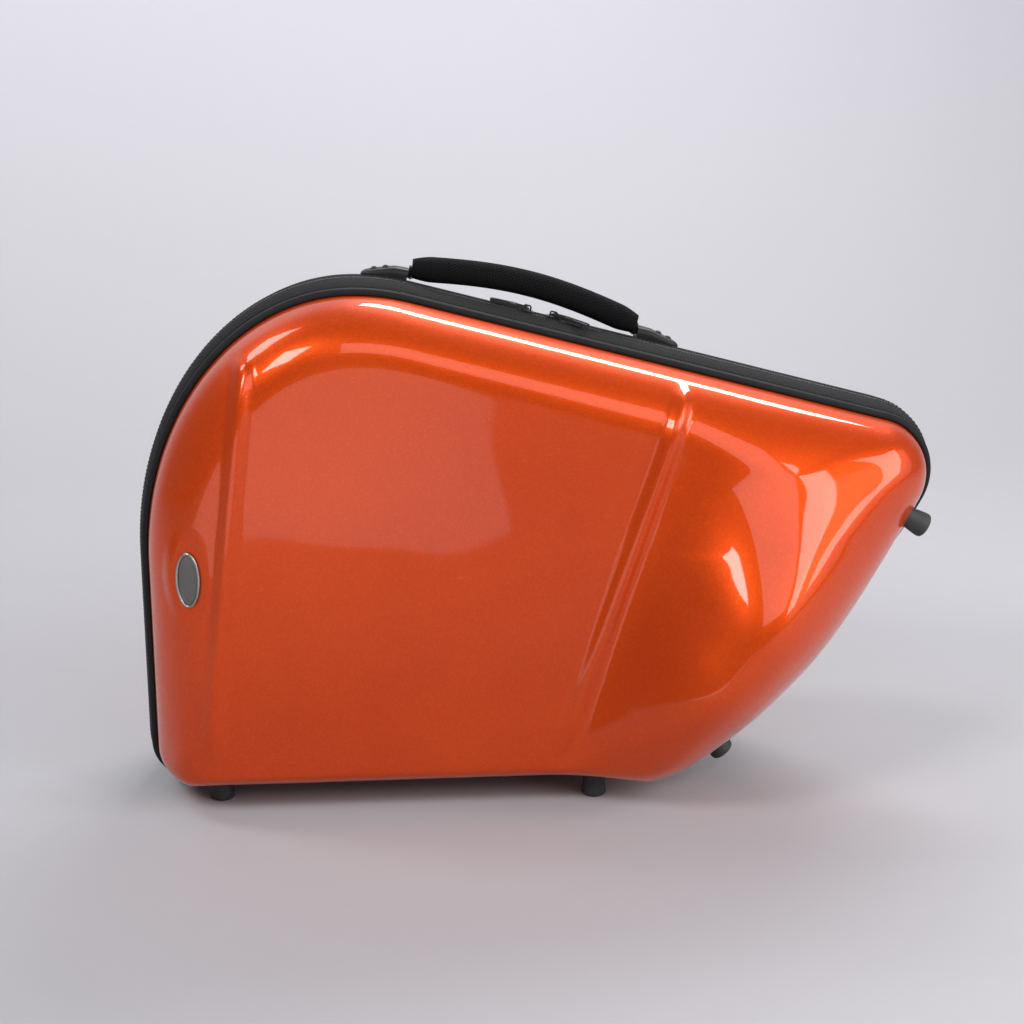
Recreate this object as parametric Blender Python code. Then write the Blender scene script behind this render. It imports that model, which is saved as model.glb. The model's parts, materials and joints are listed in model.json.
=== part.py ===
"""Moulded hard case for a french horn, standing on its feet. Metres, +Z up.

X runs from the round body end to the bell end, Y from front to back.
The two shells face each other across the plane Y = 0, where a zip runs round the case.
"""
import math

import bmesh
import bpy
from mathutils import Matrix, Vector
from mathutils.bvhtree import BVHTree

for old in list(bpy.data.objects):
    bpy.data.objects.remove(old, do_unlink=True)

# Rim outline of a shell, seen from the front, going clockwise from the left edge
FOOT_HEIGHT = 0.017
HEEL_RADIUS = 0.028
LEFT_RISE = 0.184
CROWN_REACH = 0.164
CROWN_RISE = 0.210
CREST_RADIUS = 0.180
TOP_SLOPE = math.radians(14.9)
TOP_RUN = 0.3925
TIP_RADIUS = 0.045
TIP_HEADING = math.radians(-118.5)
END_RADIUS = 0.700
TOE_RADIUS = 0.091

# Shell depth, measured from its rim
PANEL_DEPTH = 0.058
BELL_DEPTH = 0.132
BELL_CREST_IN = 0.0705
BELL_FLAT = 0.021
BELL_FADE = 0.211
BELL_PLACE = 0.70
SHOULDER_SIDE = 0.046
SHOULDER_TOP = 0.040
SHOULDER_END = 0.099
SHOULDER_FOOT = 0.020
SHOULDER_TIP_GROW = 0.012
SHOULDER_TOE_FALL = 0.013
SHOULDER_TOE_GROW = 0.0005
SIDE_FALL = 0.010
SIDE_FALL_RUN = 0.075
HUB_IN = 0.245
SHELL_WALL = 0.0042
LINER_THICK = 0.012

# Raised ribs on each shell, from the bottom edge to the top edge
RIB_UP = 0.021
RIB_LEFT_FOOT = 0.044
RIB_LEFT_TURN = 60.4
RIB_LEFT_DROP = 0.0086
RIB_RIGHT_FOOT = 0.157
RIB_RIGHT_PLACE = 0.534
RIB_RIGHT_DROP = 0.0053
RIB_WIDE = 0.0080
RIB_HIGH = 0.0040

# Band between the shells
BAND_HALF = 0.032
BINDING_WIDTH = 0.0075
BINDING_PROUD = 0.0052
BINDING_LIP = 0.0022
ZIP_PROUD = 0.0088
GUSSET_THICK = 0.0022
COIL_WIDTH = 0.0024
COIL_HIGH = 0.0016
TAPE_WIDTH = 0.0052
TAPE_THICK = 0.0009
HINGE_SAG = 0.0108
HINGE_LEFT = 0.052
HINGE_RIGHT = 0.026
HINGE_STEPS = 10

# Fittings
FOOT_RADIUS = 0.0100
FOOT_TOP_RADIUS = 0.0085
BELL_FOOT_PROUD = 0.0130
BELL_FOOT_DEEP = 0.016
HEEL_FOOT_IN = 0.051
HEEL_FOOT_DEEP = 0.0125
TOE_FOOT_IN = 0.0155
TOE_FOOT_DEEP = 0.028
SCREW_HEAD_RADIUS = 0.0036
SCREW_RADIUS = 0.0017
HANDLE_SPAN = 0.186
HANDLE_Y = 0.0155
HANDLE_X = 0.298
HANDLE_AXIS = 0.0125
GRIP_RADIUS = 0.0100
GRIP_RISE = 0.0165
GRIP_END_RISE = 0.0060
CORE_THICK = 0.0025
PIN_RADIUS = 0.0015
PIN_HEAD = 0.0014
LUG_GAP = 0.0004
BRACKET_LENGTH = 0.036
BRACKET_OVER = 0.0034
PIN_IN = 0.0066
SLIDER_X = 0.311
SLIDER_APART = 0.021
SLIDER_LENGTH = 0.011
PULL_LENGTH = 0.031
PULL_WIDTH = 0.0088
PULL_LEFT_YAW = 9.0
PULL_RIGHT_YAW = 30.0
BADGE_WIDE = 0.020
BADGE_TALL = 0.044
BADGE_IN = 0.035
BADGE_HEIGHT = 0.184
BOX_LEG = 0.105
BOX_DEEP = 0.046
BOX_WALL = 0.004
STRAP_WIDE = 0.025
STRAP_LONG = 0.230
STRAP_THICK = 0.002
STRAP_IN = 0.262
STRAP_UP = 0.075
STRAP_CHAMFER = 0.004
STUD_IN = 0.018
STUD_RADIUS = 0.0058

# Clearances
GAP = 0.0003
LINER_GAP = 0.0008
BORE_GAP = 0.0003
FOOT_GAP = 0.0006
SEAT_GAP = 0.0008

Y_AXIS = Vector((0.0, 1.0, 0.0))


# Outline
def heading_point(point, heading, radius):
    """Centre of a clockwise arc that leaves the point along the heading."""
    return (point[0] + radius * math.sin(heading), point[1] - radius * math.cos(heading))


def make_outline():
    """Rim samples (x, z, normal x, normal z, shoulder radius), clockwise from the left edge."""
    out = []

    def add(x, z, heading, shoulder):
        out.append([x, z, -math.sin(heading), math.cos(heading), shoulder])

    def arc(start, heading, radius, turn, steps, first, last):
        cx, cz = heading_point(start, heading, radius)
        for k in range(1, steps + 1):
            h = heading - turn * k / steps
            x = cx - radius * math.sin(h)
            z = cz + radius * math.cos(h)
            add(x, z, h, first + (last - first) * k / steps)
        return (out[-1][0], out[-1][1]), heading - turn

    def line(start, heading, length, steps, first, last):
        for k in range(1, steps + 1):
            d = length * k / steps
            x = start[0] + d * math.cos(heading)
            z = start[1] + d * math.sin(heading)
            add(x, z, heading, first + (last - first) * k / steps)
        return (out[-1][0], out[-1][1])

    bottom = FOOT_HEIGHT
    tip_shoulder = SHOULDER_TOP + SHOULDER_TIP_GROW
    toe_shoulder = SHOULDER_END - SHOULDER_TOE_FALL
    sole_shoulder = SHOULDER_FOOT + SHOULDER_TOE_GROW
    at = (0.0, bottom + HEEL_RADIUS)
    add(at[0], at[1], math.pi / 2, SHOULDER_SIDE)
    at = line(at, math.pi / 2, LEFT_RISE - HEEL_RADIUS, 2, SHOULDER_SIDE, SHOULDER_SIDE)
    steps = 8
    for k in range(1, steps + 1):
        a = math.pi / 2 * k / steps
        x = at[0] + CROWN_REACH * (1 - math.cos(a))
        z = at[1] + CROWN_RISE * math.sin(a)
        heading = math.atan2(CROWN_RISE * math.cos(a), CROWN_REACH * math.sin(a))
        add(x, z, heading, SHOULDER_SIDE + (SHOULDER_TOP - SHOULDER_SIDE) * k / steps)
    at = (out[-1][0], out[-1][1])
    at, heading = arc(at, 0.0, CREST_RADIUS, TOP_SLOPE, 2, SHOULDER_TOP, SHOULDER_TOP)
    top_start = at
    at = line(at, heading, TOP_RUN, 6, SHOULDER_TOP, tip_shoulder)
    at, heading = arc(at, heading, TIP_RADIUS, heading - TIP_HEADING, 7, tip_shoulder, SHOULDER_END)
    centre = heading_point(at, heading, END_RADIUS)
    toe = -math.acos((bottom + TOE_RADIUS - centre[1]) / (END_RADIUS - TOE_RADIUS))
    at, heading = arc(at, heading, END_RADIUS, heading - toe, 9, SHOULDER_END, toe_shoulder)
    at, heading = arc(at, heading, TOE_RADIUS, heading + math.pi, 4, toe_shoulder, sole_shoulder)
    toe_x = at[0]
    zip_end = len(out)
    right = toe_x - HINGE_RIGHT
    left = HINGE_LEFT
    at = line(at, math.pi, HINGE_RIGHT, 1, sole_shoulder, SHOULDER_FOOT)
    at = line(at, math.pi, right - left, HINGE_STEPS, SHOULDER_FOOT, SHOULDER_FOOT)
    at = line(at, math.pi, left - HEEL_RADIUS, 1, SHOULDER_FOOT, SHOULDER_FOOT)
    arc(at, math.pi, HEEL_RADIUS, math.pi / 2, 4, SHOULDER_FOOT, SHOULDER_SIDE)
    out.pop()
    shift = -(min(p[0] for p in out) + max(p[0] for p in out)) / 2
    for p in out:
        p[0] += shift
    # Start the list at the left end of the fabric hinge
    begin = zip_end + HINGE_STEPS
    turned = out[begin:] + out[:begin]
    zip_count = len(out) - HINGE_STEPS + 1
    top_start = (top_start[0] + shift, top_start[1])
    centre = (centre[0] + shift, centre[1])
    return turned, zip_count, shift, top_start, centre, toe


RIM, ZIP_COUNT, SHIFT, TOP_START, END_CENTRE, TOE_HEADING = make_outline()
ZIP_RUN = RIM[:ZIP_COUNT]
HINGE_RUN = RIM[ZIP_COUNT - 1:] + RIM[:1]
LEFT_X = SHIFT
BOTTOM_Z = FOOT_HEIGHT
HUB = (LEFT_X + HUB_IN, BOTTOM_Z + LEFT_RISE)
CREST = (LEFT_X + CROWN_REACH, BOTTOM_Z + LEFT_RISE + CROWN_RISE)

# Centre lines of the two raised ribs, bottom to top
rib_turn = math.radians(RIB_LEFT_TURN)
rib_x = LEFT_X + CROWN_REACH * (1 - math.cos(rib_turn))
rib_z = BOTTOM_Z + LEFT_RISE + CROWN_RISE * math.sin(rib_turn) - RIB_LEFT_DROP
RIB_LEFT = ((LEFT_X + RIB_LEFT_FOOT, BOTTOM_Z + RIB_UP), (rib_x, rib_z))
rib_x = TOP_START[0] + TOP_RUN * RIB_RIGHT_PLACE
rib_z = TOP_START[1] - (rib_x - TOP_START[0]) * math.tan(TOP_SLOPE) - RIB_RIGHT_DROP
RIB_RIGHT = ((LEFT_X + CROWN_REACH + RIB_RIGHT_FOOT, BOTTOM_Z + RIB_UP), (rib_x, rib_z))


def side_of(line, x, z):
    """Signed distance of a point to the right of a line that runs upward."""
    (x0, z0), (x1, z1) = line
    length = math.hypot(x1 - x0, z1 - z0)
    return ((x - x0) * (z1 - z0) - (z - z0) * (x1 - x0)) / length


def smooth(value):
    value = max(0.0, min(1.0, value))
    return value * value * (3 - 2 * value)


def full_depth(x, z):
    """Depth of the shell's face from its rim before the edge is rounded."""
    away = -side_of(RIB_LEFT, x, z)
    depth = PANEL_DEPTH - SIDE_FALL * smooth(away / SIDE_FALL_RUN)
    past_rib = side_of(RIB_RIGHT, x, z)
    if past_rib > 0:
        dx = x - END_CENTRE[0]
        dz = z - END_CENTRE[1]
        inside = END_RADIUS - math.hypot(dx, dz) - BELL_CREST_IN
        rise = 1.0 if inside <= 0 else past_rib / (past_rib + inside)
        middle = TIP_HEADING + (TOE_HEADING - TIP_HEADING) * BELL_PLACE + math.pi / 2
        along = abs(math.atan2(dz, dx) - middle) * END_RADIUS
        fade = 1 - smooth((along - BELL_FLAT) / (BELL_FADE - BELL_FLAT))
        depth += (BELL_DEPTH - PANEL_DEPTH) * smooth(rise) * fade
    return depth


def edge_distance(x, z):
    """Distance to the rim outline, and the shoulder radius there."""
    best = (1.0, SHOULDER_TOP)
    for p, q in zip(RIM, RIM[1:] + RIM[:1]):
        dx, dz = q[0] - p[0], q[1] - p[1]
        k = ((x - p[0]) * dx + (z - p[1]) * dz) / (dx * dx + dz * dz)
        k = max(0.0, min(1.0, k))
        d = math.hypot(x - p[0] - k * dx, z - p[1] - k * dz)
        if d < best[0]:
            best = (d, p[4] + (q[4] - p[4]) * k)
    return best


def surface_depth(x, z, inset):
    """Depth from the rim of the surface that lies the inset inside the outer one."""
    d, shoulder = edge_distance(x, z)
    k = min(1.0, max(0.0, (d - inset) / (shoulder - inset)))
    return (full_depth(x, z) - inset) * math.sqrt(max(0.0, 1 - (1 - k) ** 2))


# Meshes
def finish(name, bm, colour, rough=0.5, metal=0.0, origin=None):
    """Turn a closed bmesh into a named object with its own material."""
    bmesh.ops.recalc_face_normals(bm, faces=bm.faces)
    mesh = bpy.data.meshes.new(name)
    bm.to_mesh(mesh)
    bm.free()
    obj = bpy.data.objects.new(name, mesh)
    bpy.context.scene.collection.objects.link(obj)
    if origin is not None:
        mesh.transform(Matrix.Translation(-Vector(origin)))
        obj.location = origin
    mat = bpy.data.materials.new(name)
    mat.use_nodes = True
    shader = mat.node_tree.nodes["Principled BSDF"]
    shader.inputs["Base Color"].default_value = (*colour, 1.0)
    shader.inputs["Roughness"].default_value = rough
    shader.inputs["Metallic"].default_value = metal
    mesh.materials.append(mat)
    return obj


def loft(bm, rings, closed):
    """Join rings of points, in order; an open run is capped at both ends."""
    rows = [[bm.verts.new(p) for p in ring] for ring in rings]
    count = len(rows[0])
    pairs = list(zip(rows, rows[1:] + rows[:1])) if closed else list(zip(rows, rows[1:]))
    for a, b in pairs:
        for j in range(count):
            k = (j + 1) % count
            bm.faces.new((a[j], a[k], b[k], b[j]))
    if not closed:
        bm.faces.new(rows[0])
        bm.faces.new(rows[-1])
    return rows


ORANGE = (0.55, 0.09, 0.02)
BLACK = (0.02, 0.02, 0.022)
FOAM = (0.05, 0.05, 0.055)
STEEL = (0.5, 0.5, 0.5)
RINGS = (0.0, 0.012, 0.034, 0.07, 0.12, 0.2, 0.3, 0.45, 0.66)


def bowl(name, side, inset, thick, collar, colour, rough):
    """Dished shell between two insets; side is -1 for the front half, 1 for the back."""
    bm = bmesh.new()

    def layer(depth_in):
        rows = []
        base = [(p[0] - depth_in * p[2], p[1] - depth_in * p[3]) for p in RIM]
        if collar:
            rows.append([(x, side * (BAND_HALF - collar), z) for x, z in base])
        for r in RINGS:
            row = []
            for x, z in base:
                px = x + (HUB[0] - x) * r
                pz = z + (HUB[1] - z) * r
                d = 0.0 if r == 0 else surface_depth(px, pz, depth_in)
                row.append((px, side * (BAND_HALF + d), pz))
            rows.append(row)
        verts = [[bm.verts.new(p) for p in row] for row in rows]
        count = len(base)
        # Every layer is split along the same diagonals, so neighbouring layers stay parallel
        for a, b in zip(verts, verts[1:]):
            for j in range(count):
                k = (j + 1) % count
                bm.faces.new((a[j], a[k], b[k]))
                bm.faces.new((a[j], b[k], b[j]))
        top = bm.verts.new((HUB[0], side * (BAND_HALF + full_depth(*HUB) - depth_in), HUB[1]))
        for j in range(count):
            bm.faces.new((verts[-1][j], verts[-1][(j + 1) % count], top))
        return verts[0]

    outer = layer(inset)
    inner = layer(inset + thick)
    count = len(outer)
    for j in range(count):
        k = (j + 1) % count
        bm.faces.new((outer[j], outer[k], inner[k], inner[j]))
    bmesh.ops.triangulate(bm, faces=bm.faces)
    return finish(name, bm, colour, rough)


def band(name, run, section, side, colour, rough=0.8, metal=0.0, closed=False):
    """Strip with a constant (offset, y) section along part of the rim."""
    bm = bmesh.new()
    rings = [[(p[0] + o * p[2], side * y, p[1] + o * p[3]) for o, y in section] for p in run]
    loft(bm, rings, closed)
    return finish(name, bm, colour, rough, metal)


def shape(points, half, frame):
    """Bmesh of an outline in the (a, c) plane of a frame, thickened by half each way along b."""
    bm = bmesh.new()
    loft(bm, [[frame @ Vector((a, b, c)) for a, c in points] for b in (-half, half)], False)
    return bm


def turned(profile, sides, frame):
    """Bmesh of a profile of (radius, height) turned about the c axis of a frame."""
    bm = bmesh.new()
    rings = []
    for j in range(sides):
        t = 2 * math.pi * j / sides
        rings.append([frame @ Vector((r * math.cos(t), r * math.sin(t), h)) for r, h in profile])
    loft(bm, rings, True)
    return bm


def peg(profile, sides, frame):
    """Bmesh of a solid turned from a profile of (radius, height), with flat ends."""
    bm = bmesh.new()
    rings = []
    for r, h in profile:
        ring = []
        for j in range(sides):
            t = 2 * math.pi * j / sides
            ring.append(frame @ Vector((r * math.cos(t), r * math.sin(t), h)))
        rings.append(ring)
    loft(bm, rings, False)
    return bm


def frame_of(origin, a_axis, c_axis):
    """Frame with the a axis and c axis given; b completes it."""
    a = Vector(a_axis).normalized()
    c = Vector(c_axis).normalized()
    b = c.cross(a)
    m = Matrix((a, b, c)).transposed().to_4x4()
    m.translation = Vector(origin)
    return m


def tree_of(obj):
    bpy.context.view_layer.update()
    return BVHTree.FromObject(obj, bpy.context.evaluated_depsgraph_get())


def cut_with(obj, cutters, operation):
    """Boolean the obj with several meshes gathered into one hidden tool object."""
    tool_mesh = bpy.data.meshes.new(obj.name + "_tool_" + operation.lower())
    all_bm = bmesh.new()
    for bm in cutters:
        bmesh.ops.recalc_face_normals(bm, faces=bm.faces)
        part = bpy.data.meshes.new("tool_part")
        bm.to_mesh(part)
        bm.free()
        all_bm.from_mesh(part)
        bpy.data.meshes.remove(part)
    all_bm.to_mesh(tool_mesh)
    all_bm.free()
    tool = bpy.data.objects.new(tool_mesh.name, tool_mesh)
    bpy.context.scene.collection.objects.link(tool)
    tool.hide_render = True
    tool.display_type = "WIRE"
    tool.location = obj.location
    mod = obj.modifiers.new(operation.lower(), "BOOLEAN")
    mod.operation = operation
    mod.solver = "EXACT"
    mod.object = tool


def top_frame(x):
    """Frame on the rim's top edge at x: a along the edge to the right, c outward."""
    if x < TOP_START[0]:
        s = max(0.0, (x - CREST[0]) / CREST_RADIUS)
        heading = -math.asin(s)
        z = CREST[1] - CREST_RADIUS * (1 - math.cos(heading))
    else:
        heading = -TOP_SLOPE
        z = TOP_START[1] - (x - TOP_START[0]) * math.tan(TOP_SLOPE)
    a = Vector((math.cos(heading), 0.0, math.sin(heading)))
    return frame_of((x, 0.0, z), a, (-math.sin(heading), 0.0, math.cos(heading)))


# The two halves
BINDING_IN = BAND_HALF - BINDING_WIDTH
GUSSET_OUT = BINDING_IN - GAP
GUSSET_IN = COIL_WIDTH + 0.0002 + 0.0006
TAPE_TOP = ZIP_PROUD - COIL_HIGH - GAP
LINER_INSET = SHELL_WALL + LINER_GAP
LINER_COLLAR = BAND_HALF - 0.012


def gusset_top(y):
    """Offset of the gusset's outer face at a distance y from the zip plane."""
    k = (abs(y) - GUSSET_IN) / (GUSSET_OUT - GUSSET_IN)
    return ZIP_PROUD - (ZIP_PROUD - BINDING_PROUD) * k * k


def rib_tool(line, side, tree):
    """Raised rib that follows the shell's face, sunk a little into the wall."""
    bm = bmesh.new()
    rings = []
    (x0, z0), (x1, z1) = line
    length = math.hypot(x1 - x0, z1 - z0)
    ux, uz = (x1 - x0) / length, (z1 - z0) / length
    stations = [0.13 + 0.83 * n / 33 for n in range(34)] + [0.985]
    for n, k in enumerate(stations):
        x = x0 + (x1 - x0) * k
        z = z0 + (z1 - z0) * k
        grow = min(1.0, 0.35 + 0.75 * k)
        end = 0.45 if n in (0, len(stations) - 1) else 1.0
        wide = RIB_WIDE * grow * end
        high = RIB_HIGH * grow * (0.5 if end < 1 else 1.0)
        ring = []
        for off, lift in ((-1.0, -0.0010), (-0.7, high * 0.7), (0.0, high), (0.7, high * 0.7),
                          (1.0, -0.0010), (0.5, -0.0016), (0.0, -0.0016), (-0.5, -0.0016)):
            px = x + off * wide * uz
            pz = z - off * wide * ux
            hit = tree.ray_cast(Vector((px, side * 1.0, pz)), Vector((0, -side, 0)))[0]
            ring.append((px, hit.y + side * lift, pz))
        rings.append(ring)
    loft(bm, rings, False)
    bmesh.ops.triangulate(bm, faces=bm.faces)
    return bm


def foot_places():
    """Feet as (name, rim point, outward normal, distance from the rim, height)."""
    toe_x = max(p[0] for p in HINGE_RUN)
    bottom = ((LEFT_X + HEEL_FOOT_IN, BOTTOM_Z), (0.0, -1.0))
    second = ((toe_x - TOE_FOOT_IN, BOTTOM_Z), (0.0, -1.0))
    out = [("heel", *bottom, HEEL_FOOT_DEEP, FOOT_HEIGHT), ("toe", *second, TOE_FOOT_DEEP, FOOT_HEIGHT)]
    span = TIP_HEADING - TOE_HEADING
    for name, k in (("tip", 0.06), ("end", 1.0)):
        h = TIP_HEADING - span * k
        point = (END_CENTRE[0] - END_RADIUS * math.sin(h), END_CENTRE[1] + END_RADIUS * math.cos(h))
        out.append((name, point, (-math.sin(h), math.cos(h)), BELL_FOOT_DEEP, BELL_FOOT_PROUD))
    return out


def add_feet(side, word, tree):
    """Rubber feet with their screws; returns the holes to drill in the shell."""
    holes = []
    for name, point, normal, inward, proud in foot_places():
        c_axis = Vector((normal[0], 0.0, normal[1]))
        centre = Vector((point[0], side * (BAND_HALF + inward), point[1]))
        frame = frame_of(centre, (-normal[1], 0.0, normal[0]), c_axis)

        def wall(a, b):
            start = frame @ Vector((a, b, 0.04))
            hit = tree.ray_cast(start, -c_axis)[0]
            return (hit - centre).dot(c_axis)

        bore = SCREW_RADIUS + BORE_GAP
        recess = SCREW_HEAD_RADIUS + 0.0008
        deep = proud - 0.0045
        bm = bmesh.new()
        rings = []
        sides = 12
        for j in range(sides):
            t = 2 * math.pi * j / sides
            ct, st = math.cos(t), math.sin(t)
            profile = [(bore, None), (FOOT_TOP_RADIUS, None), (FOOT_RADIUS, proud - 0.005),
                       (FOOT_RADIUS - 0.0018, proud), (recess, proud), (recess, deep), (bore, deep)]
            ring = []
            for r, h in profile:
                if h is None:
                    h = wall(r * ct, r * st) + FOOT_GAP
                ring.append(frame @ Vector((r * ct, r * st, h)))
            rings.append(ring)
        loft(bm, rings, True)
        finish(word + "_foot_" + name, bm, BLACK, 0.6)
        tip = wall(0.0, 0.0) - SHELL_WALL * 0.7
        head = [(SCREW_HEAD_RADIUS, deep + 0.0026), (SCREW_HEAD_RADIUS, deep + GAP),
                (SCREW_RADIUS, deep + GAP), (SCREW_RADIUS, tip)]
        finish(word + "_screw_" + name, peg(head, 8, frame), STEEL, 0.3, 1.0)
        holes.append(peg([(bore, 0.006), (bore, -0.016)], 8, frame))
    return holes


def add_half(side, word):
    shell = bowl(word + "_shell", side, 0.0, SHELL_WALL, 0.0, ORANGE, 0.25)
    tree = tree_of(shell)
    holes = add_feet(side, word, tree)
    ribs = [rib_tool(RIB_LEFT, side, tree), rib_tool(RIB_RIGHT, side, tree)]
    cut_with(shell, ribs, "UNION")
    cut_with(shell, holes, "DIFFERENCE")
    bowl(word + "_liner", side, LINER_INSET, LINER_THICK, LINER_COLLAR, FOAM, 0.95)
    rim = BAND_HALF - GAP
    lip = BAND_HALF + BINDING_LIP
    section = [(-SHELL_WALL, BINDING_IN), (BINDING_PROUD, BINDING_IN), (BINDING_PROUD, BAND_HALF),
               (BINDING_PROUD * 0.6, lip), (GAP, lip), (GAP, rim), (-SHELL_WALL, rim)]
    band(word + "_binding", RIM, section, side, BLACK, 0.7, closed=True)
    mid = 0.5 * (GUSSET_IN + GUSSET_OUT)
    near = TAPE_WIDTH + 0.0008
    section = [(ZIP_PROUD, GUSSET_IN), (gusset_top(mid), mid), (gusset_top(GUSSET_OUT), GUSSET_OUT),
               (gusset_top(GUSSET_OUT) - GUSSET_THICK, GUSSET_OUT), (gusset_top(mid) - GUSSET_THICK, mid),
               (TAPE_TOP + GAP, near), (TAPE_TOP + GAP, GUSSET_IN)]
    band(word + "_gusset", ZIP_RUN, section, side, BLACK, 0.9)
    edge = 0.0002
    section = [(TAPE_TOP, edge + 0.0002), (TAPE_TOP, TAPE_WIDTH), (TAPE_TOP - TAPE_THICK, TAPE_WIDTH),
               (TAPE_TOP - TAPE_THICK, edge + 0.0002)]
    band(word + "_zip_tape", ZIP_RUN, section, side, BLACK, 0.9)
    section = [(ZIP_PROUD, edge), (ZIP_PROUD, edge + COIL_WIDTH), (ZIP_PROUD - COIL_HIGH, edge + COIL_WIDTH),
               (ZIP_PROUD - COIL_HIGH, edge)]
    band(word + "_zip_coil", ZIP_RUN, section, side, (0.12, 0.12, 0.12), 0.4)
    slack = [list(p) for p in HINGE_RUN]
    slack[0][0] -= 0.0006
    slack[-1][0] += 0.0006
    low = HINGE_SAG
    edge_o = BINDING_PROUD - 0.0006
    section = [(low, 0.00015), (low * 0.75 + edge_o * 0.25, GUSSET_OUT * 0.5), (edge_o, GUSSET_OUT),
               (edge_o - 0.002, GUSSET_OUT), (low * 0.75 + edge_o * 0.25 - 0.002, GUSSET_OUT * 0.5),
               (low - 0.002, 0.00015)]
    band("hinge_fabric_" + word, [slack[0], slack[-1]], section, side, BLACK, 0.9)
    return tree


front_tree = add_half(-1, "front")
back_tree = add_half(1, "back")

# End clips of the zip, on the back coil just before each end of the fabric hinge
for word, run in (("left", ZIP_RUN[:2]), ("right", ZIP_RUN[-2:][::-1])):
    p, q = run
    step = 0.005 / math.hypot(q[0] - p[0], q[1] - p[1])
    far = [p[i] + (q[i] - p[i]) * step for i in range(5)]
    low = ZIP_PROUD + GAP
    section = [(low + 0.0012, 0.0004), (low + 0.0012, 0.0046), (low, 0.0046), (low, 0.0004)]
    band("zip_clip_" + word, [p, far], section, 1, STEEL, 0.3, 1.0)

# Carrying handle, on an axis along the top edge
left_x = LEFT_X + HANDLE_X - HANDLE_SPAN / 2 * math.cos(TOP_SLOPE)
right_x = LEFT_X + HANDLE_X + HANDLE_SPAN / 2 * math.cos(TOP_SLOPE)
pivots = [top_frame(x) @ Vector((0.0, HANDLE_Y, HANDLE_AXIS)) for x in (left_x, right_x)]
along = (pivots[1] - pivots[0]).normalized()
up = along.cross(Y_AXIS)
middle = (pivots[0] + pivots[1]) / 2
HANDLE = frame_of(middle, along, up)
half_span = (pivots[1] - pivots[0]).length / 2
LUG = 0.0032
LUG_THICK = 0.003
LUG_HALF = 0.0033


def arch(a):
    """Height of the grip's centre line above the handle axis."""
    k = a / (half_span - LUG_THICK)
    return GRIP_END_RISE + (GRIP_RISE - GRIP_END_RISE) * math.cos(k * math.pi / 2)


inner = half_span - LUG_THICK / 2
reach = inner - 0.004
stations = (-1.0, -0.985, -0.93, -0.84, -0.66, -0.4, -0.13, 0.13, 0.4, 0.66, 0.84, 0.93, 0.985, 1.0)
over = []
under = []
for a in [-inner] + [k * reach for k in stations] + [inner]:
    over.append((a, arch(a) + CORE_THICK / 2))
    under.append((a, arch(a) - CORE_THICK / 2))
lug = half_span + LUG_THICK / 2
drop = LUG - 0.0012
outline = [(-lug, -drop), (-lug, over[0][1])] + over[1:-1] + [(lug, over[-1][1]), (lug, -drop)]
outline += [(lug - LUG_THICK, -LUG), (lug - LUG_THICK, under[-1][1] - 0.001)] + under[1:-1][::-1]
outline += [(-lug + LUG_THICK, under[0][1] - 0.001), (-lug + LUG_THICK, -LUG)]
core = finish("handle_core", shape(outline, LUG_HALF, HANDLE), BLACK, 0.5, origin=middle)
pin_bore = PIN_RADIUS + BORE_GAP
cutters = []
for s in (-1, 1):
    spot = frame_of(HANDLE @ Vector((s * half_span, 0, 0)), up, along)
    cutters.append(peg([(pin_bore, -0.006), (pin_bore, 0.006)], 10, spot))
for bm in cutters:
    bmesh.ops.translate(bm, vec=-middle, verts=bm.verts)
cut_with(core, cutters, "DIFFERENCE")

bm = bmesh.new()
rings_out = []
rings_in = []
grip_sides = 12
for k in stations:
    a = k * reach
    slope = (arch(a + 0.001) - arch(a - 0.001)) / 0.002
    tilt = Vector((-slope, 0, 1)).normalized()
    grow = min(1.0, 0.52 + 0.48 * math.sin(min(1.0, (1 - abs(k)) / 0.2) * math.pi / 2))
    ring_out = []
    ring_in = []
    for j in range(grip_sides):
        t = 2 * math.pi * (j + 0.5) / grip_sides
        b = math.cos(t) * GRIP_RADIUS * 1.08 * grow
        c = math.sin(t) * GRIP_RADIUS * grow
        ring_out.append(HANDLE @ (Vector((a, b, arch(a))) + tilt * c))
        b = max(-1.0, min(1.0, 1.45 * math.cos(t))) * (LUG_HALF + 0.0004)
        c = max(-1.0, min(1.0, 4.5 * math.sin(t))) * (CORE_THICK / 2 + 0.0005)
        ring_in.append(HANDLE @ (Vector((a, b, arch(a))) + tilt * c))
    rings_out.append(ring_out)
    rings_in.append(ring_in)
loft(bm, rings_out + rings_in[::-1], True)
finish("handle_grip", bm, BLACK, 0.9, origin=middle)

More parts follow.
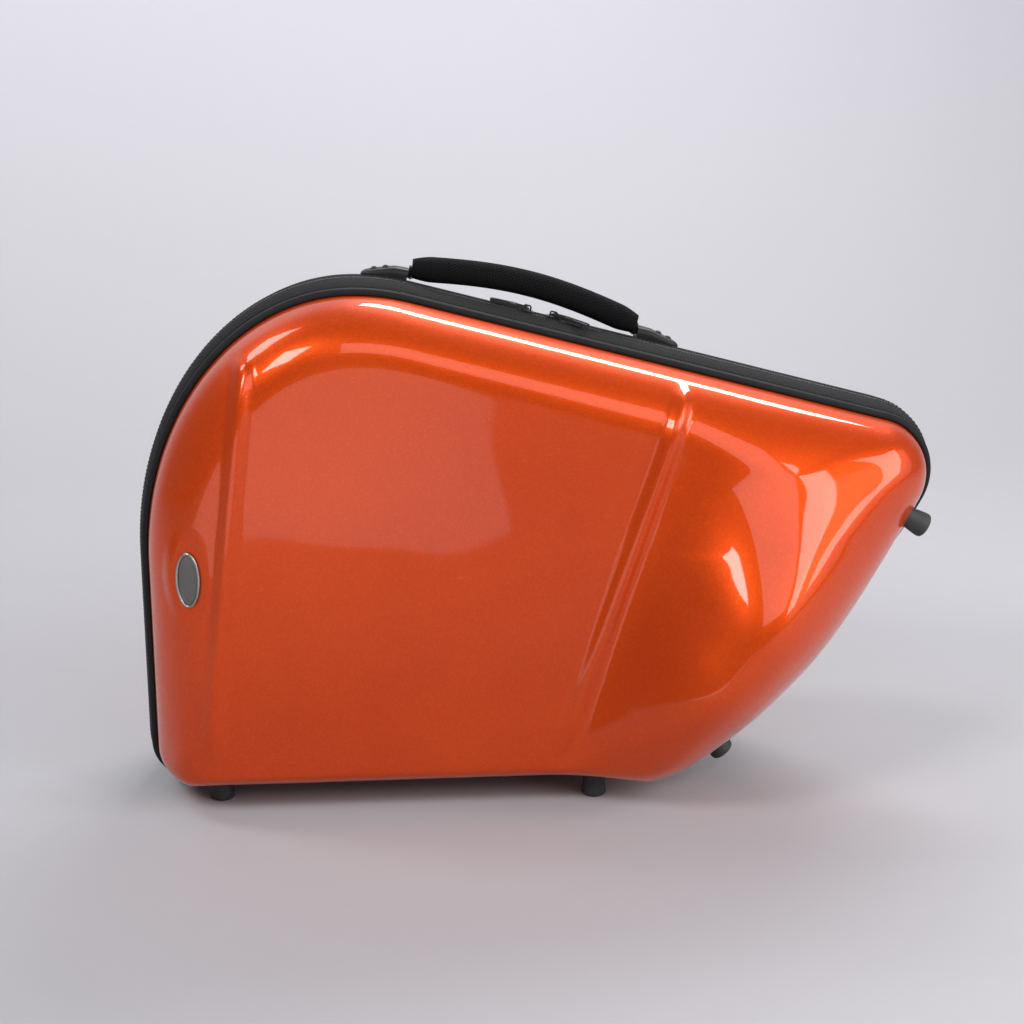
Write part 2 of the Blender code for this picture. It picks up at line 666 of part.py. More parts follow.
gusset_tree = tree_of(bpy.data.objects["back_gusset"])
for s, word, x in ((-1, "left", left_x), (1, "right", right_x)):
    spot = top_frame(x)
    bm = bmesh.new()
    rings = []
    start = LUG_THICK / 2 + LUG_GAP
    for k, high, wide in ((0.0, 1.0, 1.0), (0.3, 1.0, 1.0), (0.8, 0.62, 1.0), (0.95, 0.48, 0.8),
                          (1.0, 0.4, 0.55)):
        a = s * (start + BRACKET_LENGTH * k)
        ring = []
        for b, top in ((-1, False), (0, False), (1, False), (1, True), (0.7, True), (-0.7, True),
                       (-1, True)):
            y = HANDLE_Y + b * 0.0082 * wide
            base = spot @ Vector((a, y, 0.03))
            down = -(spot.to_3x3() @ Vector((0, 0, 1)))
            hit = gusset_tree.ray_cast(base, down)[0]
            level = (spot.inverted() @ hit).z + SEAT_GAP
            if top:
                tall = HANDLE_AXIS + PIN_RADIUS + BRACKET_OVER - gusset_top(HANDLE_Y)
                mid_hit = gusset_tree.ray_cast(spot @ Vector((a, HANDLE_Y, 0.03)), down)[0]
                level = (spot.inverted() @ mid_hit).z + tall * high * (0.72 if abs(b) == 1 else 1.0)
            ring.append(spot @ Vector((a, y, level)))
        rings.append(ring)
    loft(bm, rings, False)
    bmesh.ops.triangulate(bm, faces=bm.faces)
    bracket = finish("handle_bracket_" + word, bm, BLACK, 0.6)
    axis = frame_of(pivots[0 if s < 0 else 1], up, along * s)
    tools = [peg([(pin_bore, -0.01), (pin_bore, start + PIN_IN + 2 * GAP)], 10, axis)]
    head = PIN_RADIUS + PIN_HEAD
    seat = -LUG_THICK / 2 - LUG_GAP
    pin = [(head, seat - PIN_HEAD), (head, seat), (PIN_RADIUS, seat), (PIN_RADIUS, start + PIN_IN)]
    finish("handle_pin_" + word, peg(pin, 10, axis), STEEL, 0.3, 1.0)
    for n, k in enumerate((0.5, 0.74)):
        a = s * (start + BRACKET_LENGTH * k)
        here = spot @ Vector((a, HANDLE_Y, 0.03))
        down = -(spot.to_3x3() @ Vector((0, 0, 1)))
        face = tree_of(bracket).ray_cast(here, down)[0]
        level = (spot.inverted() @ face).z + 0.0013
        rivet = frame_of(spot @ Vector((a, HANDLE_Y, level)), along, -down)
        tools.append(peg([(0.0017, -0.0034), (0.0017, 0.004)], 8, rivet))
        form = [(0.0013, -0.0024), (0.0013, 0.0), (0.0032, 0.0), (0.0026, 0.0011), (0.0010, 0.0016)]
        finish("bracket_rivet_" + word + "_" + str(n + 1), peg(form, 8, rivet), STEEL, 0.3, 1.0)
    cut_with(bracket, tools, "DIFFERENCE")

# Zip sliders and their pulls
PLATE_LOW = ZIP_PROUD + 0.0006
PLATE_TOP = PLATE_LOW + 0.0012
CROWN_IN = 0.0022
CROWN_OUT = 0.0034
CROWN_HIGH = 0.0042
EYE_HIGH = PLATE_TOP + 0.0016
PULL_THICK = 0.0016
for s, word in ((-1, "left"), (1, "right")):
    x = LEFT_X + SLIDER_X + s * SLIDER_APART / 2
    spot = top_frame(x)
    half = SLIDER_LENGTH / 2
    top = PLATE_TOP + CROWN_HIGH
    plate = [(-half, PLATE_LOW), (-half, PLATE_TOP - 0.0003), (-half + 0.0005, PLATE_TOP),
             (half - 0.0005, PLATE_TOP), (half, PLATE_TOP - 0.0003), (half, PLATE_LOW)]
    slider = finish("zip_slider_" + word, shape(plate, 0.0042, spot), BLACK, 0.35, 0.6,
                    origin=spot.translation)
    crown = [(-CROWN_OUT, PLATE_TOP - 0.0006), (-CROWN_OUT, top - 0.0012), (-CROWN_IN, top), (CROWN_IN, top),
             (CROWN_OUT, top - 0.0012), (CROWN_OUT, PLATE_TOP - 0.0006), (CROWN_IN, PLATE_TOP - 0.0006),
             (CROWN_IN, top - 0.0011), (-CROWN_IN, top - 0.0011), (-CROWN_IN, PLATE_TOP - 0.0006)]
    tool = shape(crown, 0.0012, spot)
    bmesh.ops.translate(tool, vec=-spot.translation, verts=tool.verts)
    cut_with(slider, [tool], "UNION")
    yaw = math.radians(-PULL_RIGHT_YAW if s > 0 else 180.0 + PULL_LEFT_YAW)
    turn = Matrix.Rotation(yaw, 4, "Z")
    eye = spot @ Matrix.Translation((0, 0, EYE_HIGH)) @ turn
    w = PULL_WIDTH / 2
    flat = [(-0.0008, -w + 0.0008), (0.0, -w), (0.012, -w), (0.0145, -w + 0.0008),
            (PULL_LENGTH - 0.002, -w + 0.0004), (PULL_LENGTH, -w + 0.0022),
            (PULL_LENGTH, w - 0.0022), (PULL_LENGTH - 0.002, w - 0.0004),
            (0.0145, w - 0.0008), (0.012, w), (0.0, w), (-0.0008, w - 0.0008)]
    bm = bmesh.new()
    rings = [[eye @ Vector((a, b, c)) for a, b in flat] for c in (-PULL_THICK / 2, PULL_THICK / 2)]
    loft(bm, rings, False)
    pull = finish("zip_pull_" + word, bm, BLACK, 0.35, 0.6, origin=eye.translation)
    hole = bmesh.new()
    window = [(0.0008, -w + 0.0013), (0.0105, -w + 0.0013), (0.0105, w - 0.0013), (0.0008, w - 0.0013)]
    loft(hole, [[eye @ Vector((a, b, c)) for a, b in window] for c in (-0.003, 0.003)], False)
    bmesh.ops.translate(hole, vec=-eye.translation, verts=hole.verts)
    cut_with(pull, [hole], "DIFFERENCE")

# Oval badge on the front shell, left bare
hit, normal, face, far = front_tree.ray_cast(
    Vector((LEFT_X + BADGE_IN, -1.0, BOTTOM_Z + BADGE_HEIGHT)), Vector((0, 1, 0)))
right = Vector((0, 0, 1)).cross(normal).normalized()
spot = frame_of(hit + normal * GAP, right, normal)


def oval(scale, height):
    """Ring of points of the badge's outline, shrunk by a margin."""
    ring = []
    for j in range(20):
        t = 2 * math.pi * j / 20
        a = (BADGE_WIDE / 2 - scale) * math.cos(t)
        b = (BADGE_TALL / 2 - scale) * math.sin(t)
        ring.append(spot @ Vector((a, b, height)))
    return ring


bm = bmesh.new()
loft(bm, [oval(0.0, 0.0), oval(0.0, 0.0008)], False)
finish("badge_plate", bm, (0.05, 0.05, 0.055), 0.5, 1.0)
bm = bmesh.new()
base = 0.0008 + GAP
peak = base + 0.0012
loft(bm, [oval(0.0, base), oval(0.0003, peak), oval(0.0018, peak), oval(0.0021, base)], True)
finish("badge_rim", bm, (0.4, 0.38, 0.36), 0.35, 1.0)

# Inside: a corner compartment with a lid, and the strap that holds the instrument
FLOOR_Y = BAND_HALF + PANEL_DEPTH - LINER_INSET - LINER_THICK
corner_x = LEFT_X + LINER_INSET + LINER_THICK + SHOULDER_SIDE - 0.012
corner_z = BOTTOM_Z + LINER_INSET + LINER_THICK + SHOULDER_FOOT - 0.012
liner_tree = tree_of(bpy.data.objects["back_liner"])


def corner(margin):
    """Triangle of the compartment, shrunk by a margin, as (x, z) points."""
    far = BOX_LEG - margin * (1 + math.sqrt(2))
    return [(corner_x + margin, corner_z + margin), (corner_x + far, corner_z + margin),
            (corner_x + margin, corner_z + far)]


floor_hits = []
for i in range(7):
    for j in range(7 - i):
        x = corner_x + BOX_LEG * i / 6
        z = corner_z + BOX_LEG * j / 6
        floor_hits.append(liner_tree.ray_cast(Vector((x, 0.0, z)), Y_AXIS)[0].y)
box_back = min(floor_hits) - GAP
box_front = box_back - BOX_DEEP
bm = bmesh.new()
rows = [[(x, y, z) for x, z in corner(m)] for m, y in
        ((0.0, box_back), (0.0, box_front), (BOX_WALL, box_front), (BOX_WALL, box_back - BOX_WALL))]
loft(bm, rows, False)
finish("corner_box", bm, FOAM, 0.95)
bm = bmesh.new()
lid_back = box_front - GAP
loft(bm, [[(x, y, z) for x, z in corner(0.0)] for y in (lid_back, lid_back - 0.004)], False)
lid_pivot = Vector((corner_x + BOX_LEG / 2, lid_back, corner_z + BOX_LEG / 2))
finish("corner_lid", bm, FOAM, 0.95, origin=lid_pivot)

strap_x = LEFT_X + STRAP_IN
strap_z = BOTTOM_Z + STRAP_UP
half = STRAP_WIDE / 2
strap_hits = []
for i in (-1, 0, 1):
    for k in range(5):
        start = Vector((strap_x + i * half, 0.0, strap_z + STRAP_LONG * k / 4))
        strap_hits.append(liner_tree.ray_cast(start, Y_AXIS)[0].y)
strap_y = min(strap_hits) - GAP
bm = bmesh.new()
nip = STRAP_CHAMFER
ring = [(-half, nip), (-half + nip, 0), (half - nip, 0), (half, nip), (half, STRAP_LONG - nip),
        (half - nip, STRAP_LONG), (-half + nip, STRAP_LONG), (-half, STRAP_LONG - nip)]
levels = (strap_y, strap_y - STRAP_THICK)
loft(bm, [[(strap_x + a, y, strap_z + b) for a, b in ring] for y in levels], False)
finish("instrument_strap", bm, BLACK, 0.9)
for word, z in (("lower", strap_z + STUD_IN), ("upper", strap_z + STRAP_LONG - STUD_IN)):
    spot = frame_of((strap_x, strap_y - STRAP_THICK - GAP, z), (1, 0, 0), (0, -1, 0))
    form = [(STUD_RADIUS, 0.0), (STUD_RADIUS, 0.0008), (STUD_RADIUS * 0.6, 0.0020)]
    finish("strap_stud_" + word, peg(form, 10, spot), STEEL, 0.3, 1.0)

print("handle axis", [round(v, 5) for v in middle], "direction", [round(v, 5) for v in along])
for name in ("zip_slider_left", "zip_slider_right", "zip_pull_left", "zip_pull_right", "corner_lid"):
    print(name, [round(v, 5) for v in bpy.data.objects[name].location])
print("top direction", [round(v, 5) for v in top_frame(0.0).to_3x3() @ Vector((1, 0, 0))])
print("hinge height", round(BOTTOM_Z - HINGE_SAG, 5))
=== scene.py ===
# %% [markdown]
# # A moulded hard case for a french horn
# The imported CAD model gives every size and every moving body. This lesson dresses it: smooth
# painted shells, bound and stitched edges, a real zip, a padded grip and a plush inside.
# Nothing here moves a CAD part. Each new piece rides on the body of the node that it replaces.

import json
import math

import bpy
import numpy as np
from mathutils import Matrix, Vector
from mathutils.kdtree import KDTree


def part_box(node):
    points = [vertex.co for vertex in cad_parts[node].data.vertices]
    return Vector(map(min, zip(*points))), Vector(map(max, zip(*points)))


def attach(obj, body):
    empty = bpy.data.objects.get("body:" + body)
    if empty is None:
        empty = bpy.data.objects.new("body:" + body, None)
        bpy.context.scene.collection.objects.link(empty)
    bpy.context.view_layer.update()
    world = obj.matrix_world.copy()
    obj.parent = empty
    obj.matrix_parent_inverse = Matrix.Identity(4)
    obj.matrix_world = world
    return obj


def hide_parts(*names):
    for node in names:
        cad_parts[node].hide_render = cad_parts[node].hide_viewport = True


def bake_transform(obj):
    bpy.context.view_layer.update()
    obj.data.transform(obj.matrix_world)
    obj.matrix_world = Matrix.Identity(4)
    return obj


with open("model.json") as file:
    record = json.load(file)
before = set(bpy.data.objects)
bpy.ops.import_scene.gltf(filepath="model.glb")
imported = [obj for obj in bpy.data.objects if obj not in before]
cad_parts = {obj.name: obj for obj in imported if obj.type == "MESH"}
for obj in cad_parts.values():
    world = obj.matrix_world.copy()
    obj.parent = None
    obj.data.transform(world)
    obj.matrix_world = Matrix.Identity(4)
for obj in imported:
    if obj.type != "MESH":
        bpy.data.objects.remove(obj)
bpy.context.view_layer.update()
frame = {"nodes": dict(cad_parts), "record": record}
NODES = frame["nodes"]
BODIES = frame["record"]["behaviour"]["bodies"]
BODY_OF = {node: body for body, members in BODIES.items() for node in members}
HALVES = ((-1, "front"), (1, "back"))

# %% [markdown]
# ## The rim outline
# Both shells share one outline, seen from the front. It is a straight left edge, a quarter
# ellipse, a gentle crest, the sloping top, a small tip, the long bell end, a toe and a flat
# bottom. The CAD has it in coarse steps. Here the same arcs are sampled every few millimetres,
# so that every band and shell made from it looks round.

# %% Outline values
SHELL_LOW, SHELL_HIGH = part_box("front_shell")
LEFT_X = SHELL_LOW.x
BOTTOM_Z = SHELL_LOW.z
HEEL_RADIUS = 0.028
LEFT_RISE = 0.184
CROWN_REACH = 0.164
CROWN_RISE = 0.210
CREST_RADIUS = 0.180
TOP_SLOPE = math.radians(14.9)
TOP_RUN = 0.3925
TIP_RADIUS = 0.045
TIP_HEADING = math.radians(-118.5)
END_RADIUS = 0.700
TOE_RADIUS = 0.091
SHOULDER_SIDE = 0.046
SHOULDER_TOP = 0.040
SHOULDER_END = 0.099
SHOULDER_FOOT = 0.020
TIP_SHOULDER = SHOULDER_TOP + 0.012
TOE_SHOULDER = SHOULDER_END - 0.013
SOLE_SHOULDER = SHOULDER_FOOT + 0.0005
HINGE_LOW, HINGE_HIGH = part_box("hinge_fabric_front")
CROWN_LENGTH = 0.3
RIM_STEP = 0.0036
print("shell", [round(v, 4) for v in (*SHELL_LOW, *SHELL_HIGH)])


def arc_centre(point, heading, radius):
    """Centre of a clockwise arc that leaves the point along the heading."""
    return (point[0] + radius * math.sin(heading), point[1] - radius * math.cos(heading))


# %% Trace the outline
OUT = []


def outline_line(start, heading, length, step, first, last):
    """Add a straight run, whose shoulder radius goes from first to last."""
    count = max(1, round(length / step))
    for k in range(1, count + 1):
        d = length * k / count
        point = (start[0] + d * math.cos(heading), start[1] + d * math.sin(heading))
        shoulder = first + (last - first) * k / count
        OUT.append((*point, -math.sin(heading), math.cos(heading), shoulder))
    return OUT[-1][:2]


def outline_arc(start, heading, radius, turn, step, first, last):
    """Add a clockwise arc, whose shoulder radius goes from first to last."""
    count = max(4, round(radius * turn / step))
    cx, cz = arc_centre(start, heading, radius)
    for k in range(1, count + 1):
        h = heading - turn * k / count
        point = (cx - radius * math.sin(h), cz + radius * math.cos(h))
        shoulder = first + (last - first) * k / count
        OUT.append((*point, -math.sin(h), math.cos(h), shoulder))
    return OUT[-1][:2], heading - turn


def trace_outline(step):
    """Rows of x, z, normal x, normal z and shoulder radius, clockwise from the heel."""
    OUT.clear()
    at = (LEFT_X, BOTTOM_Z + HEEL_RADIUS)
    up = math.pi / 2
    at = outline_line(at, up, LEFT_RISE - HEEL_RADIUS, step, SHOULDER_SIDE, SHOULDER_SIDE)
    count = round(CROWN_LENGTH / step)
    for k in range(1, count + 1):
        a = up * k / count
        x = at[0] + CROWN_REACH * (1 - math.cos(a))
        z = at[1] + CROWN_RISE * math.sin(a)
        h = math.atan2(CROWN_RISE * math.cos(a), CROWN_REACH * math.sin(a))
        shoulder = SHOULDER_SIDE + (SHOULDER_TOP - SHOULDER_SIDE) * k / count
        OUT.append((x, z, -math.sin(h), math.cos(h), shoulder))
    at = OUT[-1][:2]
    at, heading = outline_arc(at, 0.0, CREST_RADIUS, TOP_SLOPE, step, SHOULDER_TOP, SHOULDER_TOP)
    at = outline_line(at, heading, TOP_RUN, step, SHOULDER_TOP, TIP_SHOULDER)
    turn = heading - TIP_HEADING
    at, heading = outline_arc(at, heading, TIP_RADIUS, turn, step, TIP_SHOULDER, SHOULDER_END)
    centre = arc_centre(at, heading, END_RADIUS)
    toe = -math.acos((BOTTOM_Z + TOE_RADIUS - centre[1]) / (END_RADIUS - TOE_RADIUS))
    turn = heading - toe
    at, heading = outline_arc(at, heading, END_RADIUS, turn, step, SHOULDER_END, TOE_SHOULDER)
    turn = heading + math.pi
    at, heading = outline_arc(at, heading, TOE_RADIUS, turn, step, TOE_SHOULDER, SOLE_SHOULDER)
    run = at[0] - LEFT_X - HEEL_RADIUS
    at = outline_line(at, math.pi, run, step, SOLE_SHOULDER, SHOULDER_FOOT)
    outline_arc(at, math.pi, HEEL_RADIUS, up, step, SHOULDER_FOOT, SHOULDER_SIDE)
    return np.array(OUT), centre, toe


RIM, END_CENTRE, TOE_HEADING = trace_outline(RIM_STEP)
RIM_NEXT = np.roll(RIM, -1, axis=0)
rim_length = float(np.hypot(*(RIM_NEXT - RIM)[:, :2].T).sum())
print("outline", len(RIM), "samples,", round(rim_length, 3), "m round")

# %% [markdown]
# ## The shell's depth
# A shell is a height field over the outline. The panel is flat, falls a little to the left of
# the first rib, and swells into the bell bulge to the right of the second one. Near the rim a
# quarter ellipse rounds the edge. Its radius changes along the rim, so it is averaged further
# in. Ribs could be modelled by hand, but a height added to the field keeps the paint seamless.

# %% Depth values
BAND_HALF = 0.032
PANEL_DEPTH = 0.058
BELL_DEPTH = 0.132
BELL_CREST_IN = 0.0705
BELL_FLAT = 0.021
BELL_FADE = 0.211
BELL_PLACE = 0.70
SIDE_FALL = 0.010
SIDE_REACH = 0.075
SHELL_WALL = 0.0042
LINER_INSET = SHELL_WALL + 0.0008
LINER_THICK = 0.012
RIB_LEFT = ((LEFT_X + 0.044, BOTTOM_Z + 0.021), (LEFT_X + 0.083, BOTTOM_Z + 0.358))
RIB_RIGHT = ((LEFT_X + 0.321, BOTTOM_Z + 0.021), (LEFT_X + 0.420, BOTTOM_Z + 0.3269))
RIB_HALF_WIDTH = 0.0095
RIB_SPREAD = 0.0022
RIB_HEIGHT = 0.0056
RIB_LOW_SHARE = 0.80
RIB_FOOT_START = 0.01
RIB_FOOT_RUN = 0.12
RIB_ROUND_FROM = 0.97
SHOULDER_BLEND = 0.02
NEAREST = 4e-6
print("panel", PANEL_DEPTH, "bell", BELL_DEPTH, "m deep")


# %% Panel, bell and side fall
def smooth(value):
    value = np.clip(value, 0.0, 1.0)
    return value * value * (3 - 2 * value)


def line_coords(line, x, z):
    """Place along a line, from 0 to 1, and signed distance to its right."""
    (x0, z0), (x1, z1) = line
    dx, dz = x1 - x0, z1 - z0
    length = math.hypot(dx, dz)
    along = ((x - x0) * dx + (z - z0) * dz) / length**2
    return along, ((x - x0) * dz - (z - z0) * dx) / length, length


def full_depth(x, z):
    """Depth of the face from the rim before the edge is rounded."""
    away = -line_coords(RIB_LEFT, x, z)[1]
    depth = PANEL_DEPTH - SIDE_FALL * smooth(away / SIDE_REACH)
    past = np.maximum(line_coords(RIB_RIGHT, x, z)[1], 0.0)
    dx, dz = x - END_CENTRE[0], z - END_CENTRE[1]
    inside = np.maximum(END_RADIUS - np.hypot(dx, dz) - BELL_CREST_IN, 0.0)
    rise = past / (past + inside + 1e-9)
    middle = TIP_HEADING + (TOE_HEADING - TIP_HEADING) * BELL_PLACE + math.pi / 2
    along = np.abs(np.arctan2(dz, dx) - middle) * END_RADIUS
    fade = 1 - smooth((along - BELL_FLAT) / (BELL_FADE - BELL_FLAT))
    return depth + (BELL_DEPTH - PANEL_DEPTH) * smooth(rise) * fade


# %% Distance to the rim
RIM_TREE = KDTree(len(RIM))
for n, row in enumerate(RIM):
    RIM_TREE.insert((row[0], row[1], 0.0), n)
RIM_TREE.balance()


def soft_shoulder(x, z):
    """Shoulder radius averaged over the outline, where near samples count most."""
    total = np.zeros(x.shape)
    weights = np.zeros(x.shape)
    for row in RIM[::3]:
        w = ((x - row[0]) ** 2 + (z - row[1]) ** 2 + NEAREST) ** -2
        total += w * row[4]
        weights += w
    return total / weights


def edge_distance(x, z):
    """Distance to the outline, and the shoulder radius at the nearest place."""
    nearest = np.array([RIM_TREE.find((a, b, 0.0))[1] for a, b in zip(x, z)])
    best = np.full(x.shape, 9.0)
    shoulder = np.zeros(x.shape)
    for index in (nearest - 1, nearest):
        start, stop = RIM[index], RIM_NEXT[index]
        dx, dz = stop[:, 0] - start[:, 0], stop[:, 1] - start[:, 1]
        k = np.clip(((x - start[:, 0]) * dx + (z - start[:, 1]) * dz) / (dx**2 + dz**2), 0, 1)
        d = np.hypot(x - start[:, 0] - k * dx, z - start[:, 1] - k * dz)
        closer = d < best
        best[closer] = d[closer]
        shoulder[closer] = (start[:, 4] + (stop[:, 4] - start[:, 4]) * k)[closer]
    return best, shoulder


# %% Ribs and the rounded edge
def rib_height(line, x, z):
    """Height of a rib: narrow with a round end at the top, low and wide at the foot."""
    along, across, length = line_coords(line, x, z)
    grow = np.clip(RIB_LOW_SHARE + (1 - RIB_LOW_SHARE) * along, 0.0, 1.0)
    grow = grow * smooth((along - RIB_FOOT_START) / RIB_FOOT_RUN)
    half = RIB_HALF_WIDTH + RIB_SPREAD * np.clip(1 - along, 0.0, 1.0)
    over = np.maximum(along - RIB_ROUND_FROM, 0.0) * length
    reach = np.clip(np.sqrt((across / half) ** 2 + (over / half) ** 2), 0.0, 1.0)
    return RIB_HEIGHT * grow * (1 - reach**2) ** 2


def surface_depth(x, z, inset):
    """Depth from the rim of the surface that lies the inset inside the outer one."""
    d, shoulder = edge_distance(x, z)
    shoulder = shoulder + (soft_shoulder(x, z) - shoulder) * smooth(d / SHOULDER_BLEND)
    k = np.clip((d - inset) / (shoulder - inset), 0.0, 1.0)
    return (full_depth(x, z) - inset) * np.sqrt(1 - (1 - k) ** 2)


# %% [markdown]
# ## Small mesh helpers
# A long band with one section, or a shell in rings, is a grid of points wrapped round a path.
# A few helpers turn rings of points into a mesh, close its ends and give it a UV map in metres,
# so that a weave drawn on it keeps its true size. The last one dresses a finished piece.


# %% Mesh helpers
def deselect():
    bpy.ops.object.select_all(action="DESELECT")


def activate(obj):
    deselect()
    obj.select_set(True)
    bpy.context.view_layer.objects.active = obj


def new_object(name, verts, faces, smooth_angle=40):
    mesh = bpy.data.meshes.new(name)
    mesh.from_pydata([tuple(v) for v in verts], [], faces)
    mesh.validate()
    obj = bpy.data.objects.new(name, mesh)
    bpy.context.scene.collection.objects.link(obj)
    activate(obj)
    bpy.ops.object.mode_set(mode="EDIT")
    bpy.ops.mesh.select_all(action="SELECT")
    bpy.ops.mesh.normals_make_consistent(inside=False)
    bpy.ops.object.mode_set(mode="OBJECT")
    bpy.ops.object.shade_smooth_by_angle(angle=math.radians(smooth_angle))
    return obj


def grid_faces(rows, cols, wrap_rows, wrap_cols):
    faces = []
    for i in range(rows if wrap_rows else rows - 1):
        for j in range(cols if wrap_cols else cols - 1):
            a, b = i * cols + j, i * cols + (j + 1) % cols
            c, d = ((i + 1) % rows) * cols + (j + 1) % cols, ((i + 1) % rows) * cols + j
            faces.append((a, b, c, d))
    return faces


def end_caps(total, ring):
    """Two faces that close the first and the last ring of a grid of points."""
    return [tuple(range(ring)), tuple(range(total - ring, total))]


def add_uv(obj, uv):
    """UV in metres from one (u, v) pair for each vertex."""
    layer = obj.data.uv_layers.new(name="metres")
    index = np.zeros(len(obj.data.loops), np.int32)
    obj.data.loops.foreach_get("vertex_index", index)
    layer.data.foreach_set("uv", np.asarray(uv, np.float32)[index].ravel())


def dress(obj, material, slot, *nodes):
    """Give a piece its finish, ride it on its nodes' body and let it stand for them."""
    obj.data.materials.clear()
    obj.data.materials.append(material)
    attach(obj, BODY_OF[nodes[0]])
    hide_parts(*nodes)
    return obj


# %% [markdown]
# ## Shader groups
# Several finishes share an effect, so each effect is one node group: fine grain for moulded
# rubber and plastic, a plain weave for cloth, and an open knit for the grip. A group only puts
# out masks and heights. The shader itself stays in each material.


# %% Node helpers
def group_tree(name, inputs, outputs):
    """New shader group with number sockets: returns it, its input node and its output node."""
    tree = bpy.data.node_groups.new(name, "ShaderNodeTree")
    for way, labels in (("INPUT", inputs), ("OUTPUT", outputs)):
        for label in labels:
            tree.interface.new_socket(label, in_out=way, socket_type="NodeSocketFloat")
    return tree, tree.nodes.new("NodeGroupInput"), tree.nodes.new("NodeGroupOutput")


def set_inputs(node, **values):
    for key, value in values.items():
        node.inputs[key.replace("_", " ")].default_value = value


def texture(tree, kind, **values):
    """Texture node that reads Object coordinates."""
    node = tree.nodes.new("ShaderNodeTex" + kind)
    coords = tree.nodes.new("ShaderNodeTexCoord")
    tree.links.new(coords.outputs["Object"], node.inputs["Vector"])
    set_inputs(node, **values)
    return node


def uv_metres(tree):
    """The two directions of the piece's own UV map, in metres."""
    uv_node = tree.nodes.new("ShaderNodeUVMap")
    uv_node.uv_map = "metres"
    split = tree.nodes.new("ShaderNodeSeparateXYZ")
    tree.links.new(uv_node.outputs[0], split.inputs[0])
    return split.outputs[0], split.outputs[1]


def math_node(tree, operation, a, b=None):
    node = tree.nodes.new("ShaderNodeMath")
    node.operation = operation
    for socket, value in zip(node.inputs, (a, b)):
        if value is None:
            continue
        if isinstance(value, (int, float)):
            socket.default_value = value
        else:
            tree.links.new(value, socket)
    return node.outputs[0]


def finish(name, colour, rough, metal=0.0):
    """New material: returns it, its node tree and its Principled shader."""
    mat = bpy.data.materials.new(name)
    mat.use_nodes = True
    shader = mat.node_tree.nodes["Principled BSDF"]
    set_inputs(shader, Base_Color=(*colour, 1.0), Roughness=rough, Metallic=metal)
    return mat, mat.node_tree, shader


def add_group(tree, group, **values):
    node = tree.nodes.new("ShaderNodeGroup")
    node.node_tree = group
    set_inputs(node, **values)
    return node


def add_bump(tree, shader, height, strength, distance):
    bump = tree.nodes.new("ShaderNodeBump")
    set_inputs(bump, Strength=strength, Distance=distance)
    tree.links.new(height, bump.inputs["Height"])
    tree.links.new(bump.outputs[0], shader.inputs["Normal"])


def mix_colour(tree, mask, dark, light):
    mix = tree.nodes.new("ShaderNodeMix")
    mix.data_type = "RGBA"
    tree.links.new(mask, mix.inputs["Factor"])
    mix.inputs[6].default_value = (*dark, 1.0)
    mix.inputs[7].default_value = (*light, 1.0)
    return mix.outputs[2]


def map_range(tree, value, low, high, to_low, to_high):
    node = tree.nodes.new("ShaderNodeMapRange")
    set_inputs(node, From_Min=low, From_Max=high, To_Min=to_low, To_Max=to_high)
    tree.links.new(value, node.inputs["Value"])
    return node.outputs[0]


# %% Grain group
BROAD_SCALE = 38.0
GRAIN, grain_in, grain_out = group_tree("moulded_grain", ["Scale"], ["Height", "Mask"])
fine = texture(GRAIN, "Noise", Detail=3.0)
GRAIN.links.new(grain_in.outputs["Scale"], fine.inputs["Scale"])
broad = texture(GRAIN, "Noise", Scale=BROAD_SCALE)
GRAIN.links.new(fine.outputs["Fac"], grain_out.inputs["Height"])
GRAIN.links.new(broad.outputs["Fac"], grain_out.inputs["Mask"])
print("group", GRAIN.name)

# %% Weave group
FUZZ_SCALE = 300.0
WEAVE, weave_in, weave_out = group_tree("plain_weave", ["Thread"], ["Height", "Mask"])
turns = math_node(WEAVE, "DIVIDE", math.pi, weave_in.outputs["Thread"])
across_u, across_v = (math_node(WEAVE, "SINE", math_node(WEAVE, "MULTIPLY", way, turns))
                      for way in uv_metres(WEAVE))
over = math_node(WEAVE, "ABSOLUTE", math_node(WEAVE, "MULTIPLY", across_u, across_v))
fuzz = texture(WEAVE, "Noise", Scale=FUZZ_SCALE)
WEAVE.links.new(over, weave_out.inputs["Height"])
# Raised threads painted lighter: a painted highlight over painted shade, mottled at random.
thread_highlight_mottle = math_node(WEAVE, "MULTIPLY", over, fuzz.outputs["Fac"])
WEAVE.links.new(thread_highlight_mottle, weave_out.inputs["Mask"])
print("group", WEAVE.name)

# %% Knit group
ROW_SHARE = 0.866
HOLE_FROM, HOLE_TO = 0.2, 1.6
KNIT, knit_in, knit_out = group_tree("open_knit", ["Pitch"], ["Height", "Hole"])
u, v = uv_metres(KNIT)
turns = math_node(KNIT, "DIVIDE", 2 * math.pi, knit_in.outputs["Pitch"])
u_turn = math_node(KNIT, "MULTIPLY", u, turns)
v_turn = math_node(KNIT, "MULTIPLY", math_node(KNIT, "MULTIPLY", v, turns), ROW_SHARE)
half_u = math_node(KNIT, "MULTIPLY", u_turn, 0.5)
lattice = math_node(KNIT, "COSINE", u_turn)
for way in ("ADD", "SUBTRACT"):
    wave = math_node(KNIT, "COSINE", math_node(KNIT, way, half_u, v_turn))
    lattice = math_node(KNIT, "ADD", lattice, wave)
hole = map_range(KNIT, lattice, HOLE_FROM, HOLE_TO, 0.0, 1.0)
KNIT.links.new(math_node(KNIT, "SUBTRACT", 1.0, hole), knit_out.inputs["Height"])
KNIT.links.new(hole, knit_out.inputs["Hole"])
print("group", KNIT.name)
